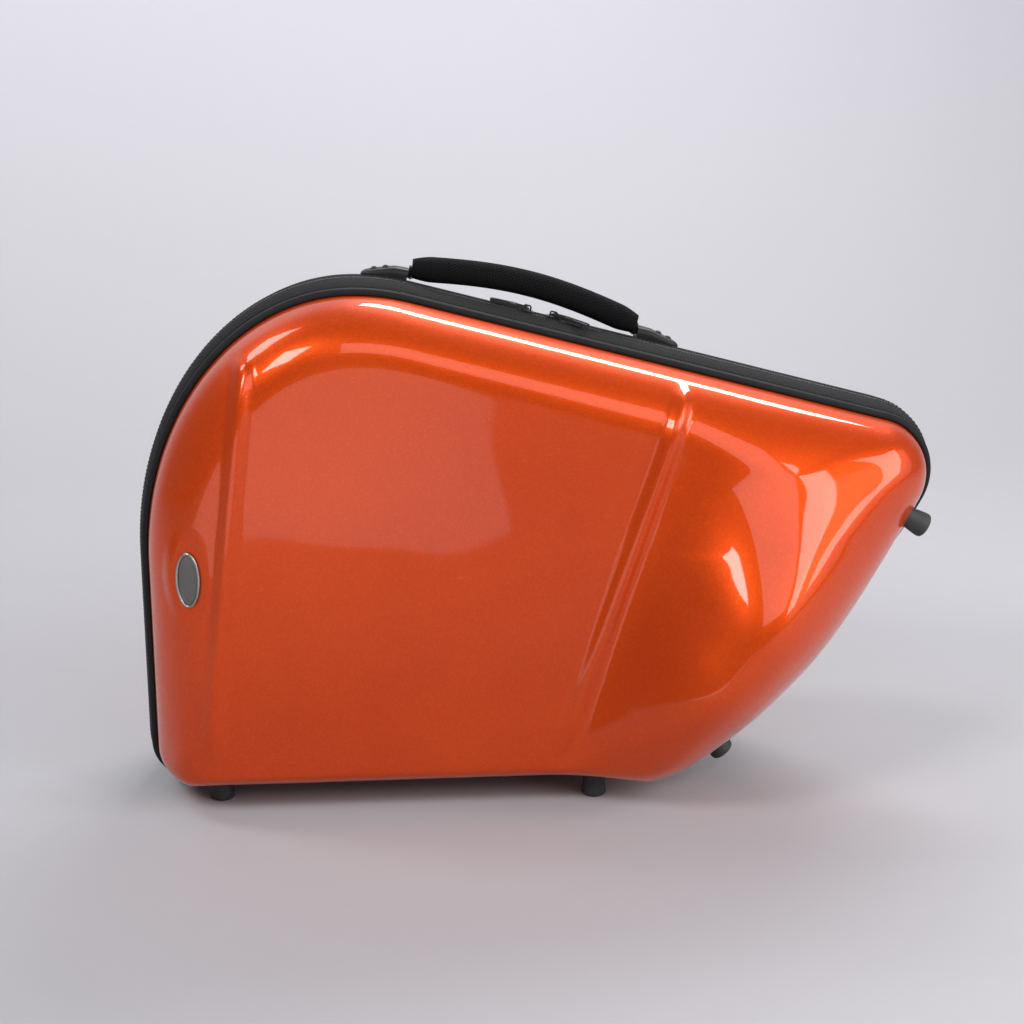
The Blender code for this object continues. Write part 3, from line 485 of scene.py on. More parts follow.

# %% [markdown]
# ## Finishes
# The shells are sprayed with orange metallic paint and a clear coat. The orange is a lit and a
# shaded copy of one colour, mixed in random blotches. Small flakes tilt the normal under the coat,
# and the brightest are painted paler as painted sparkle, while the coat stays glass smooth. The
# rest is black: woven tape, knitted mesh, rubber, painted castings and a plush lining.

# %% Orange paint
# Painted light: a lit and a shaded copy of the orange, and pale flakes as painted sparkle.
ORANGE_SHADED = (0.530, 0.044, 0.0015)
ORANGE_LIT = (0.700, 0.070, 0.0030)
FLAKE_SCALE = 1100.0
PAINT, tree, shader = finish("orange_metallic_paint", ORANGE_LIT, 0.36, 0.45)
flake = texture(tree, "Voronoi", Scale=FLAKE_SCALE)
tone = texture(tree, "Noise", Scale=5.0, Detail=4.0)
flake_value = tree.nodes.new("ShaderNodeSeparateColor")
tree.links.new(flake.outputs["Color"], flake_value.inputs[0])
tone_mask = map_range(tree, tone.outputs["Fac"], 0.3, 0.7, 0.25, 0.75)
painted_sparkle = map_range(tree, flake_value.outputs[0], 0.6, 1.0, 0.0, 0.45)
lit_shaded_blend = math_node(tree, "ADD", tone_mask, math_node(tree, "SUBTRACT", painted_sparkle, 0.1))
paint_colour = mix_colour(tree, lit_shaded_blend, ORANGE_SHADED, ORANGE_LIT)
paint_rough = map_range(tree, flake_value.outputs[1], 0.0, 1.0, 0.30, 0.48)
tree.links.new(paint_colour, shader.inputs["Base Color"])
tree.links.new(paint_rough, shader.inputs["Roughness"])
add_bump(tree, shader, flake_value.outputs[2], 0.10, 0.0004)
set_inputs(shader, Coat_Weight=1.0, Coat_Roughness=0.05, Coat_IOR=1.38, Specular_IOR_Level=0.05)
print("paint", PAINT.name)


# %% Cloth and moulded finishes
CLOTH_ROUGH = 0.86


def cloth(name, dark, light, thread, bump):
    """Woven cloth: raised threads painted lighter, a painted highlight over painted shade."""
    mat, tree, shader = finish(name, dark, CLOTH_ROUGH)
    weave = add_group(tree, WEAVE, Thread=thread)
    colour = mix_colour(tree, weave.outputs["Mask"], dark, light)
    tree.links.new(colour, shader.inputs["Base Color"])
    add_bump(tree, shader, weave.outputs["Height"], bump, 0.0003)
    set_inputs(shader, Sheen_Weight=0.05, Sheen_Roughness=0.5, Specular_IOR_Level=0.15)
    return mat


def moulded(name, dark, light, scale, rough, bump, metal=0.0, shine=0.5):
    """Moulded or cast finish: fine grain on the surface and a broad change of tone."""
    mat, tree, shader = finish(name, dark, rough[0], metal)
    grain = add_group(tree, GRAIN, Scale=scale)
    colour = mix_colour(tree, grain.outputs["Mask"], dark, light)
    spread = map_range(tree, grain.outputs["Height"], 0.3, 0.7, *rough)
    tree.links.new(colour, shader.inputs["Base Color"])
    tree.links.new(spread, shader.inputs["Roughness"])
    add_bump(tree, shader, grain.outputs["Height"], bump, 0.0002)
    set_inputs(shader, Specular_IOR_Level=shine)
    return mat


# %% Black cloth, rubber, plastic and metal
DEEP_BLACK, SOFT_BLACK = (0.007, 0.007, 0.008), (0.014, 0.014, 0.015)
PIPING = moulded("piping_vinyl", DEEP_BLACK, SOFT_BLACK, 1100.0, (0.60, 0.75), 0.25, shine=0.2)
SATIN_PLASTIC = moulded("satin_black_plastic", DEEP_BLACK, SOFT_BLACK, 1500.0, (0.38, 0.5), 0.15,
                        shine=0.3)
THREAD = moulded("sewing_thread", SOFT_BLACK, (0.030, 0.030, 0.032), 3000.0, (0.7, 0.85), 0.2)
# Each cloth's second colour is the painted highlight on its raised threads.
WEBBING = cloth("strap_webbing", (0.008, 0.008, 0.009), (0.045, 0.045, 0.048), 0.0011, 0.7)
NYLON = cloth("gusset_nylon", (0.004, 0.004, 0.005), (0.019, 0.019, 0.020), 0.0008, 0.6)
TAPE_CLOTH = cloth("zip_tape_cloth", (0.006, 0.006, 0.007), (0.028, 0.028, 0.030), 0.0006, 0.5)
RUBBER = moulded("foot_rubber", (0.018, 0.018, 0.019), (0.040, 0.040, 0.042), 900.0,
                 (0.55, 0.75), 0.25)
COIL_NYLON = moulded("coil_nylon", (0.030, 0.030, 0.032), (0.060, 0.060, 0.064), 2000.0,
                     (0.3, 0.42), 0.08)
BLACK_CASTING = moulded("black_casting", (0.020, 0.020, 0.022), (0.040, 0.040, 0.042), 1200.0,
                        (0.26, 0.4), 0.12, metal=0.5)
STEEL = moulded("plain_steel", (0.42, 0.42, 0.43), (0.56, 0.56, 0.57), 700.0,
                (0.25, 0.38), 0.10, metal=1.0)
PEWTER = moulded("pewter_rim", (0.34, 0.33, 0.31), (0.50, 0.48, 0.46), 500.0,
                 (0.26, 0.42), 0.15, metal=1.0)
PEWTER_DARK = moulded("pewter_field", (0.13, 0.125, 0.12), (0.24, 0.23, 0.22), 650.0,
                      (0.42, 0.6), 0.5, metal=0.9)

# %% Knitted mesh and plush
# The holes are painted darker than the yarn: painted shade in the holes of the knit.
KNIT_YARN, KNIT_HOLE_SHADE = (0.006, 0.006, 0.007), (0.001, 0.001, 0.001)
KNIT_MESH, tree, shader = finish("grip_knit", KNIT_YARN, 0.85)
knit = add_group(tree, KNIT, Pitch=0.0023)
knit_hole_shade_colour = mix_colour(tree, knit.outputs["Hole"], KNIT_YARN, KNIT_HOLE_SHADE)
tree.links.new(knit_hole_shade_colour, shader.inputs["Base Color"])
add_bump(tree, shader, knit.outputs["Height"], 0.9, 0.0009)
set_inputs(shader, Sheen_Weight=0.02, Specular_IOR_Level=0.10)

PILE_DARK, PILE_LIGHT = (0.012, 0.012, 0.014), (0.040, 0.040, 0.045)
PLUSH, tree, shader = finish("plush_lining", PILE_DARK, 0.95)
pile = add_group(tree, GRAIN, Scale=420.0)
pile_colour = mix_colour(tree, pile.outputs["Mask"], PILE_DARK, PILE_LIGHT)
tree.links.new(pile_colour, shader.inputs["Base Color"])
add_bump(tree, shader, pile.outputs["Height"], 0.6, 0.0008)
set_inputs(shader, Sheen_Weight=0.6, Sheen_Roughness=0.4)
print("finishes", len(bpy.data.materials))

# %% [markdown]
# ## Painted shells
# Each shell is laid out in rings that shrink from the rim to a hub. The rings crowd near the
# rim, where the edge turns over. An inner wall closes the shell at the rim. Glossy paint shows
# every kink, so the outer wall is smoothed in depth, most of all at the toe. The ribs are added
# after that, then a faint waver of the moulding, and in front an oval dip for the badge, with
# its floor just under the CAD badge.

# %% Badge plane
badge_verts = np.array([v.co for v in NODES["badge_plate"].data.vertices])
BADGE_MID = badge_verts.mean(axis=0)
BADGE_NORMAL = np.linalg.svd(badge_verts - BADGE_MID)[2][2]
BADGE_NORMAL = BADGE_NORMAL * -np.sign(BADGE_NORMAL[1])
BADGE_BACK = BADGE_MID + BADGE_NORMAL * ((badge_verts - BADGE_MID) @ BADGE_NORMAL).min()
BADGE_HALF = (0.010, 0.022)
DIMPLE_EDGE = 0.007
DIMPLE_MARGIN = 0.003
DIMPLE_UNDER = 0.0004
print("badge at", [round(v, 4) for v in BADGE_MID])


def badge_dimple(x, z, depth):
    """Depth pulled to the badge's back plane inside an oval."""
    n = BADGE_NORMAL
    floor_y = BADGE_BACK[1] - ((x - BADGE_BACK[0]) * n[0] + (z - BADGE_BACK[2]) * n[2]) / n[1]
    floor = -floor_y - BAND_HALF - DIMPLE_UNDER
    wide, tall = BADGE_HALF[0] + DIMPLE_MARGIN, BADGE_HALF[1] + DIMPLE_MARGIN
    reach = np.hypot((x - BADGE_MID[0]) / wide, (z - BADGE_MID[2]) / tall)
    out = (reach - 1) * BADGE_HALF[0]
    return depth + (floor - depth) * (1 - smooth(out / DIMPLE_EDGE))


# %% Smooth the depth of a shell
def relax(obj, chosen, repeat, weight):
    """Smooth the depth of the chosen points, and take up as much of it as the weight says."""
    before = np.array([v.co for v in obj.data.vertices])
    activate(obj)
    bpy.ops.object.mode_set(mode="EDIT")
    bpy.ops.mesh.select_mode(type="VERT")
    bpy.ops.mesh.select_all(action="DESELECT")
    bpy.ops.object.mode_set(mode="OBJECT")
    obj.data.vertices.foreach_set("select", chosen)
    bpy.ops.object.mode_set(mode="EDIT")
    bpy.ops.mesh.vertices_smooth(factor=0.5, repeat=repeat)
    bpy.ops.object.mode_set(mode="OBJECT")
    after = np.array([v.co for v in obj.data.vertices])
    before[:, 1] += weight * (after[:, 1] - before[:, 1])
    obj.data.vertices.foreach_set("co", before.ravel())
    obj.data.update()


# %% Shell builder
HUB = (LEFT_X + 0.245, BOTTOM_Z + LEFT_RISE)
RING_CROWDING = 1.35


def dished(name, side, inset, thick, collar, fine, coarse):
    """Closed dished shell between two insets: returns it and its first outer point."""
    count = len(RIM)

    def layer(inward, rings):
        rows = []
        bx, bz = RIM[:, 0] - inward * RIM[:, 2], RIM[:, 1] - inward * RIM[:, 3]
        if collar:
            rows.append(np.stack([bx, np.full(count, side * (BAND_HALF - collar)), bz], axis=1))
        for k in range(rings):
            r = (k / rings) ** RING_CROWDING
            x, z = bx + (HUB[0] - bx) * r, bz + (HUB[1] - bz) * r
            depth = surface_depth(x, z, inward) if k else np.zeros(count)
            rows.append(np.stack([x, side * (BAND_HALF + depth), z], axis=1))
        hub = full_depth(np.array([HUB[0]]), np.array([HUB[1]]))[0] - inward
        return rows, (HUB[0], side * (BAND_HALF + hub), HUB[1])

    outer, outer_hub = layer(inset, fine)
    inner, inner_hub = layer(inset + thick, coarse)
    rows = inner[::-1] + outer
    verts = np.concatenate(rows)
    faces = grid_faces(len(rows), count, False, True)
    last = (len(rows) - 1) * count
    faces += [(last + j, last + (j + 1) % count, len(verts)) for j in range(count)]
    faces += [((j + 1) % count, j, len(verts) + 1) for j in range(count)]
    obj = new_object(name, [*verts, outer_hub, inner_hub], faces, 60)
    print(name, len(faces), "faces")
    return obj, len(inner) * count


# %% Shells, ribs and dimple
WAVER = 0.0002
TOE_KINK = (LEFT_X + 0.410, BOTTOM_Z + 0.030)
OUTER_RINGS, INNER_RINGS = 160, 20
FACE_REPEAT, TOE_REPEAT = 30, 60


def fade(value, start, run):
    return smooth((value - start) / run)


def smooth_face(shell, outer):
    """Relax the face inside its rounded edge, and more round the toe, but not at the bell's rib."""
    spots = np.array([v.co for v in shell.data.vertices])
    x, z = spots[:, 0], spots[:, 2]
    deep = edge_distance(x, z)[0]
    along, across, length = line_coords(RIB_RIGHT, x, z)
    beyond = np.maximum(np.maximum(along - 1, -along), 0.0) * length
    off_rib = fade(np.hypot(across, beyond), 0.003, 0.014)
    relax(shell, outer & (deep > 0.006), FACE_REPEAT, fade(deep, 0.008, 0.016) * off_rib)
    near_toe = 1 - fade(np.hypot(x - TOE_KINK[0], z - TOE_KINK[1]), 0.030, 0.050)
    toe_weight = fade(deep, 0.004, 0.012) * near_toe * off_rib
    relax(shell, outer & (deep > 0.004) & (near_toe > 0), TOE_REPEAT, toe_weight)


for side, word in HALVES:
    name = word + "_painted_shell"
    shell, first = dished(name, side, 0.0, SHELL_WALL, 0.0, OUTER_RINGS, INNER_RINGS)
    outer = np.arange(len(shell.data.vertices)) >= first
    outer[-1] = False
    smooth_face(shell, outer)
    spots = np.array([v.co for v in shell.data.vertices])
    x, z = spots[first:-2, 0], spots[first:-2, 2]
    depth = side * spots[first:-2, 1] - BAND_HALF
    depth = depth + rib_height(RIB_LEFT, x, z) + rib_height(RIB_RIGHT, x, z)
    depth = depth + WAVER * np.sin(47 * x + 21 * z + 0.6) * np.sin(38 * z - 17 * x)
    if side < 0:
        depth = badge_dimple(x, z, depth)
    spots[first:-2, 1] = side * (BAND_HALF + depth)
    shell.data.vertices.foreach_set("co", spots.ravel())
    shell.data.update()
    dress(shell, PAINT, "shell_paint", word + "_shell")

# %% [markdown]
# ## Plush liners
# Each half is lined with foam under black plush, which runs past the rim as a soft lip. It is
# the same dished form, laid a wall's thickness further in.

# %% Liners
LINER_COLLAR = BAND_HALF - 0.012
LINER_RINGS = 40
for side, word in HALVES:
    name = word + "_plush_liner"
    liner, _ = dished(name, side, LINER_INSET, LINER_THICK, LINER_COLLAR, LINER_RINGS, LINER_RINGS)
    dress(liner, PLUSH, "lining", word + "_liner")

# %% [markdown]
# ## Binding, gusset and zip tape
# A bound edge grips each shell's rim. Between the edges runs a woven gusset, with the zip down
# its middle. Each is one small section carried along the outline. The binding goes all the way
# round, and the gusset stops where the cloth hinge begins at the bottom.

# %% Carry a section along the outline
MOST_OF_SIDE = 0.45


def path_lengths(points):
    """Length along a path at each of its points."""
    return np.concatenate([[0.0], np.cumsum(np.hypot(*np.diff(points, axis=0).T))])


def band(name, run, section, side, closed):
    """A strip with one (offset, y) section along rows of the outline."""
    section = np.array(section)
    verts = []
    uv = []
    step = path_lengths(section)
    length = path_lengths(run[:, :2])
    for p, s in zip(run, length):
        for (o, y), v in zip(section, step):
            verts.append((p[0] + o * p[2], side * y, p[1] + o * p[3]))
            uv.append((s, v))
    faces = grid_faces(len(run), len(section), closed, True)
    if not closed:
        faces += end_caps(len(verts), len(section))
    obj = new_object(name, verts, faces)
    add_uv(obj, uv)
    return obj


def round_section(points, radius, steps):
    """Round the corners of a closed section."""
    out = []
    count = len(points)
    for i in range(count):
        p, q, r = (np.array(points[(i + k) % count], float) for k in (-1, 0, 1))
        before, after = p - q, r - q
        longest = MOST_OF_SIDE * min(np.linalg.norm(before), np.linalg.norm(after))
        cut = min(radius, longest)
        a = q + before / np.linalg.norm(before) * cut
        b = q + after / np.linalg.norm(after) * cut
        for k in range(steps + 1):
            t = k / steps
            out.append(tuple((1 - t) ** 2 * a + 2 * t * (1 - t) * q + t * t * b))
    return out


# %% Sizes of the edge and the zip
GAP = 0.0003
BINDING_IN = BAND_HALF - 0.0075
BINDING_PROUD = 0.0052
BINDING_LIP = 0.0022
BINDING_ROUND = 0.0022
ZIP_PROUD = 0.0088
COIL_WIDTH = 0.0024
COIL_HIGH = 0.0016
TAPE_WIDTH = 0.0052
TAPE_THICK = 0.0009
TAPE_IN = 0.0004
TAPE_CLEAR = TAPE_WIDTH + 0.0008
GUSSET_IN = COIL_WIDTH + 0.0008
GUSSET_OUT = BINDING_IN - GAP
GUSSET_THICK = 0.0022
FACES_DOWN = -0.999
TAPE_TOP = ZIP_PROUD - COIL_HIGH - GAP

# %% The run of the zip
over_hinge = (RIM[:, 0] > HINGE_LOW.x) & (RIM[:, 0] < HINGE_HIGH.x)
on_floor = (RIM[:, 3] < FACES_DOWN) & over_hinge
first_free = int(np.where(on_floor)[0].max()) + 1
start_row = np.array([HINGE_LOW.x, BOTTOM_Z, 0.0, -1.0, SHOULDER_FOOT])
end_row = np.array([HINGE_HIGH.x, BOTTOM_Z, 0.0, -1.0, SHOULDER_FOOT])
rolled = np.roll(RIM, -first_free, axis=0)[: len(RIM) - int(on_floor.sum())]
ZIP_RUN = np.vstack([start_row, rolled, end_row])


# %% Bindings, gussets and tapes
def gusset_top(y):
    """Height of the gusset over the rim, which falls from the zip to the binding."""
    k = (abs(y) - GUSSET_IN) / (GUSSET_OUT - GUSSET_IN)
    return ZIP_PROUD - (ZIP_PROUD - BINDING_PROUD) * k * k


lip = BAND_HALF + BINDING_LIP
binding_corners = [(-SHELL_WALL, BINDING_IN), (BINDING_PROUD, BINDING_IN), (BINDING_PROUD, BAND_HALF),
                   (BINDING_PROUD * 0.6, lip), (GAP, lip), (GAP, BAND_HALF - GAP),
                   (-SHELL_WALL, BAND_HALF - GAP)]
binding_section = round_section(binding_corners, BINDING_ROUND, 5)
ys = np.linspace(GUSSET_IN, GUSSET_OUT, 9)
over = [(gusset_top(y), y) for y in ys]
under = [(gusset_top(y) - GUSSET_THICK, y) for y in ys[:0:-1] if y > TAPE_CLEAR]
gusset_section = over + under + [(TAPE_TOP + GAP, TAPE_CLEAR), (TAPE_TOP + GAP, GUSSET_IN)]
tape_low = TAPE_TOP - TAPE_THICK
tape_section = [(TAPE_TOP, TAPE_IN), (TAPE_TOP, TAPE_WIDTH), (tape_low, TAPE_WIDTH), (tape_low, TAPE_IN)]
for side, word in HALVES:
    edge = band(word + "_bound_edge", RIM, binding_section, side, True)
    dress(edge, PIPING, "black_plastic", word + "_binding")
    gusset = band(word + "_woven_gusset", ZIP_RUN, gusset_section, side, False)
    dress(gusset, NYLON, "black_fabric", word + "_gusset")
    tape = band(word + "_woven_tape", ZIP_RUN, tape_section, side, False)
    dress(tape, TAPE_CLOTH, "black_fabric", word + "_zip_tape")

# %% [markdown]
# ## Zip teeth and stitches
# The teeth and the stitches repeat hundreds of times. One tooth is modelled as a small rounded
# bar, then copied by its own mesh at each step of the run. The two rows of teeth are half a step
# apart, so that they mesh. Stitches run along both edges of the gusset.


# %% Repeat a small shape along the run
RUN_MARGIN = 0.004


def along_run(step, phase):
    """Points and normals at equal steps along the zip run."""
    length = path_lengths(ZIP_RUN[:, :2])
    at = np.arange(RUN_MARGIN + phase, length[-1] - RUN_MARGIN, step)
    rows = np.stack([np.interp(at, length, ZIP_RUN[:, c]) for c in range(4)], axis=1)
    normal = rows[:, 2:4] / np.linalg.norm(rows[:, 2:4], axis=1, keepdims=True)
    return rows[:, :2], normal


def small_bar(size, bevel, segments):
    """Rounded bar made by hand: a cube, scaled and bevelled."""
    deselect()
    bpy.ops.mesh.primitive_cube_add(size=1.0)
    bar = bpy.context.object
    bar.scale = size
    bpy.ops.object.transform_apply(location=False, rotation=False, scale=True)
    mod = bar.modifiers.new("round", "BEVEL")
    mod.width = bevel
    mod.segments = segments
    bpy.ops.object.modifier_apply(modifier="round")
    verts = np.array([v.co for v in bar.data.vertices])
    faces = [tuple(p.vertices) for p in bar.data.polygons]
    bpy.data.objects.remove(bar, do_unlink=True)
    return verts, faces


def repeat(name, shape, points, normals, offset, y):
    """One mesh of copies: x along the run, y across, z outward."""
    verts, faces = shape
    out = []
    for p, n in zip(points, normals):
        spot = np.empty_like(verts)
        spot[:, 0] = p[0] + verts[:, 0] * n[1] + (verts[:, 2] + offset) * n[0]
        spot[:, 1] = y + verts[:, 1]
        spot[:, 2] = p[1] - verts[:, 0] * n[0] + (verts[:, 2] + offset) * n[1]
        out.append(spot)
    count = len(verts)
    copies = [tuple(i + k * count for i in f) for k in range(len(points)) for f in faces]
    return new_object(name, np.concatenate(out), copies, 50)


# %% Zip teeth
TOOTH_STEP = 0.0021
TOOTH_LONG, TOOTH_BEVEL = 0.00125, 0.00042
TOOTH_Y = 0.0001 + COIL_WIDTH / 2
tooth = small_bar((TOOTH_LONG, COIL_WIDTH, COIL_HIGH), TOOTH_BEVEL, 2)
for side, word in HALVES:
    points, normals = along_run(TOOTH_STEP, TOOTH_STEP / 2 if side > 0 else 0.0)
    height = ZIP_PROUD - COIL_HIGH / 2
    coil = repeat(word + "_zip_teeth", tooth, points, normals, height, side * TOOTH_Y)
    dress(coil, COIL_NYLON, "coil", word + "_zip_coil")
    print(word, len(points), "teeth")

# %% Stitches
STITCH_STEP = 0.0034
STITCH_LONG, STITCH_THICK, STITCH_BEVEL = 0.0022, 0.0006, 0.0002
STITCH_LIFT = 0.00012
STITCH_ROWS = {"inner": GUSSET_IN + 0.0026, "outer": GUSSET_OUT - 0.0022}
stitch = small_bar((STITCH_LONG, STITCH_THICK, STITCH_THICK), STITCH_BEVEL, 1)
points, normals = along_run(STITCH_STEP, 0.0)
for side, word in HALVES:
    for label, y in STITCH_ROWS.items():
        name = word + "_" + label + "_stitches"
        row = repeat(name, stitch, points, normals, gusset_top(y) + STITCH_LIFT, side * y)
        row.data.materials.append(THREAD)
        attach(row, word + "_half")
print(len(points), "stitches in a row")

# %% [markdown]
# ## Cloth hinge
# Along the bottom one strip of the same nylon joins the two halves in place of the zip. It
# sags into a shallow fold.

# %% Hinge cloth
HINGE_SAG = 0.0108
HINGE_THICK = 0.002
HINGE_EDGE = BINDING_PROUD - 0.0006
across = np.linspace(-1.0, 1.0, 33)
stations = np.linspace(HINGE_LOW.x, HINGE_HIGH.x, 60)
sag = HINGE_EDGE + (HINGE_SAG - HINGE_EDGE) * np.cos(across * math.pi / 2) ** 1.2
verts = []
uv = []
for x in stations:
    for y, s in zip(across * GUSSET_OUT, sag):
        verts.append((x, y, BOTTOM_Z - s))
        uv.append((x, y))
    for y, s in zip(across[::-1] * GUSSET_OUT, sag[::-1]):
        verts.append((x, y, BOTTOM_Z - s + HINGE_THICK))
        uv.append((x, y))
ring = 2 * len(across)
faces = grid_faces(len(stations), ring, False, True) + end_caps(len(verts), ring)
hinge = new_object("hinge_cloth", verts, faces, 50)
add_uv(hinge, uv)
hinge.data.materials.append(NYLON)
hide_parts("hinge_fabric_front", "hinge_fabric_back")
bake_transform(hinge)

# %% [markdown]
# ## Turned fittings
# Feet, screws, rivets, studs and pins are round. Each is a profile spun about its axis, as on a
# lathe. A foot's top edge is then dropped on to the painted shell, so that it sits on the curve.


# %% Spin a profile
LATHE_MERGE = 0.000002
LATHE_ANGLE = 38


def lathe(name, profile, place, steps=40):
    """Spin (radius, height) points about the place's own z axis."""
    mesh = bpy.data.meshes.new(name)
    edges = [(i, i + 1) for i in range(len(profile) - 1)]
    mesh.from_pydata([(r, 0.0, h) for r, h in profile], edges, [])
    obj = bpy.data.objects.new(name, mesh)
    bpy.context.scene.collection.objects.link(obj)
    activate(obj)
    bpy.ops.object.mode_set(mode="EDIT")
    bpy.ops.mesh.select_all(action="SELECT")
    bpy.ops.mesh.spin(steps=steps, angle=2 * math.pi, center=(0, 0, 0), axis=(0, 0, 1))
    bpy.ops.mesh.select_all(action="SELECT")
    bpy.ops.mesh.remove_doubles(threshold=LATHE_MERGE)
    bpy.ops.mesh.normals_make_consistent(inside=False)
    bpy.ops.object.mode_set(mode="OBJECT")
    obj.data.transform(place)
    bpy.ops.object.shade_smooth_by_angle(angle=math.radians(LATHE_ANGLE))
    return obj


def place_on(point, axis, along=(1.0, 0.0, 0.0)):
    """Matrix with its z along the axis at a point."""
    z = Vector(axis).normalized()
    x = (Vector(along) - z * Vector(along).dot(z)).normalized()
    rot = Matrix((x, z.cross(x), z)).transposed().to_4x4()
    return Matrix.Translation(point) @ rot


# %% Foot values
FOOT_RADIUS = 0.0100
FOOT_TOP_RADIUS = 0.0085
FOOT_ROOT = -0.03
FOOT_NECK = -0.003
SCREW_RADIUS = 0.0036
RECESS_RADIUS = SCREW_RADIUS + 0.0008
RECESS_DEEP = 0.0045
FOOT_SET_IN = {"heel": 0.0125, "toe": 0.028, "tip": 0.016, "end": 0.016}
FOOT_REACH = {"heel": 0.017, "toe": 0.017, "tip": 0.013, "end": 0.013}
TIP_AT = TIP_HEADING + (TOE_HEADING - TIP_HEADING) * 0.06
FOOT_AXIS = {"heel": (0, 0, -1), "toe": (0, 0, -1),
             "tip": (-math.sin(TIP_AT), 0, math.cos(TIP_AT)),
             "end": (-math.sin(TOE_HEADING), 0, math.cos(TOE_HEADING))}
# Pairs of (in from the radius, back from the end), round the foot's lower edge.
FOOT_EDGE = [(0.0002, 0.0062), (0.0, 0.0046), (0.0, 0.0022), (0.0004, 0.0009), (0.0012, 0.0002),
             (0.0024, 0.0)]
# Pairs of (radius, height over the recess), from the screw's slot to its edge.
SCREW_HEAD = [(0.0, 0.0026), (0.0008, 0.0016), (0.0011, 0.0025), (SCREW_RADIUS - 0.0012, 0.0024),
              (SCREW_RADIUS - 0.0003, 0.0016), (SCREW_RADIUS, 0.0008), (SCREW_RADIUS, 0.0), (0.0, 0.0)]


def foot_place(word, side, name):
    """Frame at the rim under a foot, with its z along the foot."""
    axis = Vector(FOOT_AXIS[name])
    y = side * (BAND_HALF + FOOT_SET_IN[name])
    if name in ("heel", "toe"):
        low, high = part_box(word + "_foot_" + name)
        return place_on(Vector(((low.x + high.x) / 2, y, BOTTOM_Z)), axis), axis
    x, z = END_CENTRE[0] + END_RADIUS * axis.x, END_CENTRE[1] + END_RADIUS * axis.z
    return place_on(Vector((x, y, z)), axis), axis


def drop_on(foot, place, axis, skin):
    """Move the foot's root to just under the painted shell, and its neck to just over it."""
    turn = place.inverted()
    for v in foot.data.vertices:
        local = turn @ v.co
        if local.z < FOOT_NECK:
            start = place @ Vector((local.x, local.y, 0.05))
            hit, spot, _, _ = skin.ray_cast(start, -axis)
            level = (turn @ spot).z if hit else FOOT_NECK
            lift = 0.0003 if local.z > -0.01 else -0.0006
            v.co = place @ Vector((local.x, local.y, level + lift))


# %% Rubber feet and their screws
for side, word in HALVES:
    skin = bpy.data.objects[word + "_painted_shell"]
    for name, reach in FOOT_REACH.items():
        place, axis = foot_place(word, side, name)
        deep = reach - RECESS_DEEP
        profile = [(0.0, FOOT_ROOT), (FOOT_TOP_RADIUS, FOOT_ROOT), (FOOT_TOP_RADIUS, -0.004)]
        profile += [(FOOT_RADIUS - inward, reach - back) for inward, back in FOOT_EDGE]
        profile += [(RECESS_RADIUS + 0.0005, reach), (RECESS_RADIUS, reach - 0.0006),
                    (RECESS_RADIUS, deep), (0.0, deep)]
        foot = lathe(word + "_rubber_foot_" + name, profile, place)
        drop_on(foot, place, axis, skin)
        dress(foot, RUBBER, "rubber", word + "_foot_" + name)
        head = [(radius, deep + height) for radius, height in SCREW_HEAD]
        screw = lathe(word + "_foot_screw_" + name, head, place, 24)
        dress(screw, STEEL, "steel", word + "_screw_" + name)
print("feet", len(HALVES) * len(FOOT_REACH))

# %% [markdown]
# ## Carrying handle
# A plastic strip with a lug at each end carries a fat foam tube in knitted mesh. The tube is
# rings of points along the arched strip. It narrows at both ends, where the mesh is folded in.

# %% Handle frame
JOINTS = {joint["name"]: joint for joint in frame["record"]["behaviour"]["joints"]}
HANDLE_MID = Vector(JOINTS["handle_swing"]["pos_m"])
HANDLE_ALONG = -Vector(JOINTS["handle_swing"]["axis"]).normalized()
HANDLE_UP = HANDLE_ALONG.cross(Vector((0.0, 1.0, 0.0)))
HANDLE_AXES = Matrix((HANDLE_ALONG, (0.0, 1.0, 0.0), HANDLE_UP)).transposed().to_4x4()
HANDLE = Matrix.Translation(HANDLE_MID) @ HANDLE_AXES
HALF_SPAN = 0.093
LUG_THICK = 0.003
GRIP_RADIUS = 0.0100
GRIP_RISE = 0.0165
GRIP_END_RISE = 0.0060
GRIP_REACH = HALF_SPAN - 0.0010
GRIP_END_SHARE = 0.75
GRIP_TAPER = 0.18
GRIP_CAP_SHARE = 0.64
GRIP_OVAL = 1.08
SEAM_RISE, SEAM_WIDE = 0.05, 0.16
CREASE = 0.010
CORE_EDGE = 0.0006


def arch(a):
    """Height of the grip's middle over the pins."""
    k = a / (HALF_SPAN - LUG_THICK)
    return GRIP_END_RISE + (GRIP_RISE - GRIP_END_RISE) * math.cos(k * math.pi / 2)


# %% Knitted grip
AROUND = 40
ALONG = 120
verts = []
uv = []
places = [-1.0] + [math.sin(math.pi * (i / (ALONG - 1) - 0.5)) for i in range(ALONG)] + [1.0]
for n, k in enumerate(places):
    a = k * GRIP_REACH
    slope = (arch(a + 0.001) - arch(a - 0.001)) / 0.002
    tilt = Vector((-slope, 0.0, 1.0)).normalized()
    swell = math.sin(min(1.0, (1 - abs(k)) / GRIP_TAPER) * math.pi / 2)
    grow = GRIP_END_SHARE + (1 - GRIP_END_SHARE) * swell
    if n in (0, len(places) - 1):
        grow = GRIP_CAP_SHARE
    for j in range(AROUND):
        t = 2 * math.pi * j / AROUND
        seam = SEAM_RISE * math.exp(-(((t - 1.5 * math.pi) / SEAM_WIDE) ** 2))
        crease = CREASE * math.sin(9 * t + 40 * k) * (1 - grow)
        r = GRIP_RADIUS * grow * (1 + seam + crease)
        out = Vector((a, math.cos(t) * r * GRIP_OVAL, arch(a))) + tilt * math.sin(t) * r
        verts.append(HANDLE @ out)
        uv.append((a, t * GRIP_RADIUS))
faces = grid_faces(len(places), AROUND, False, True)
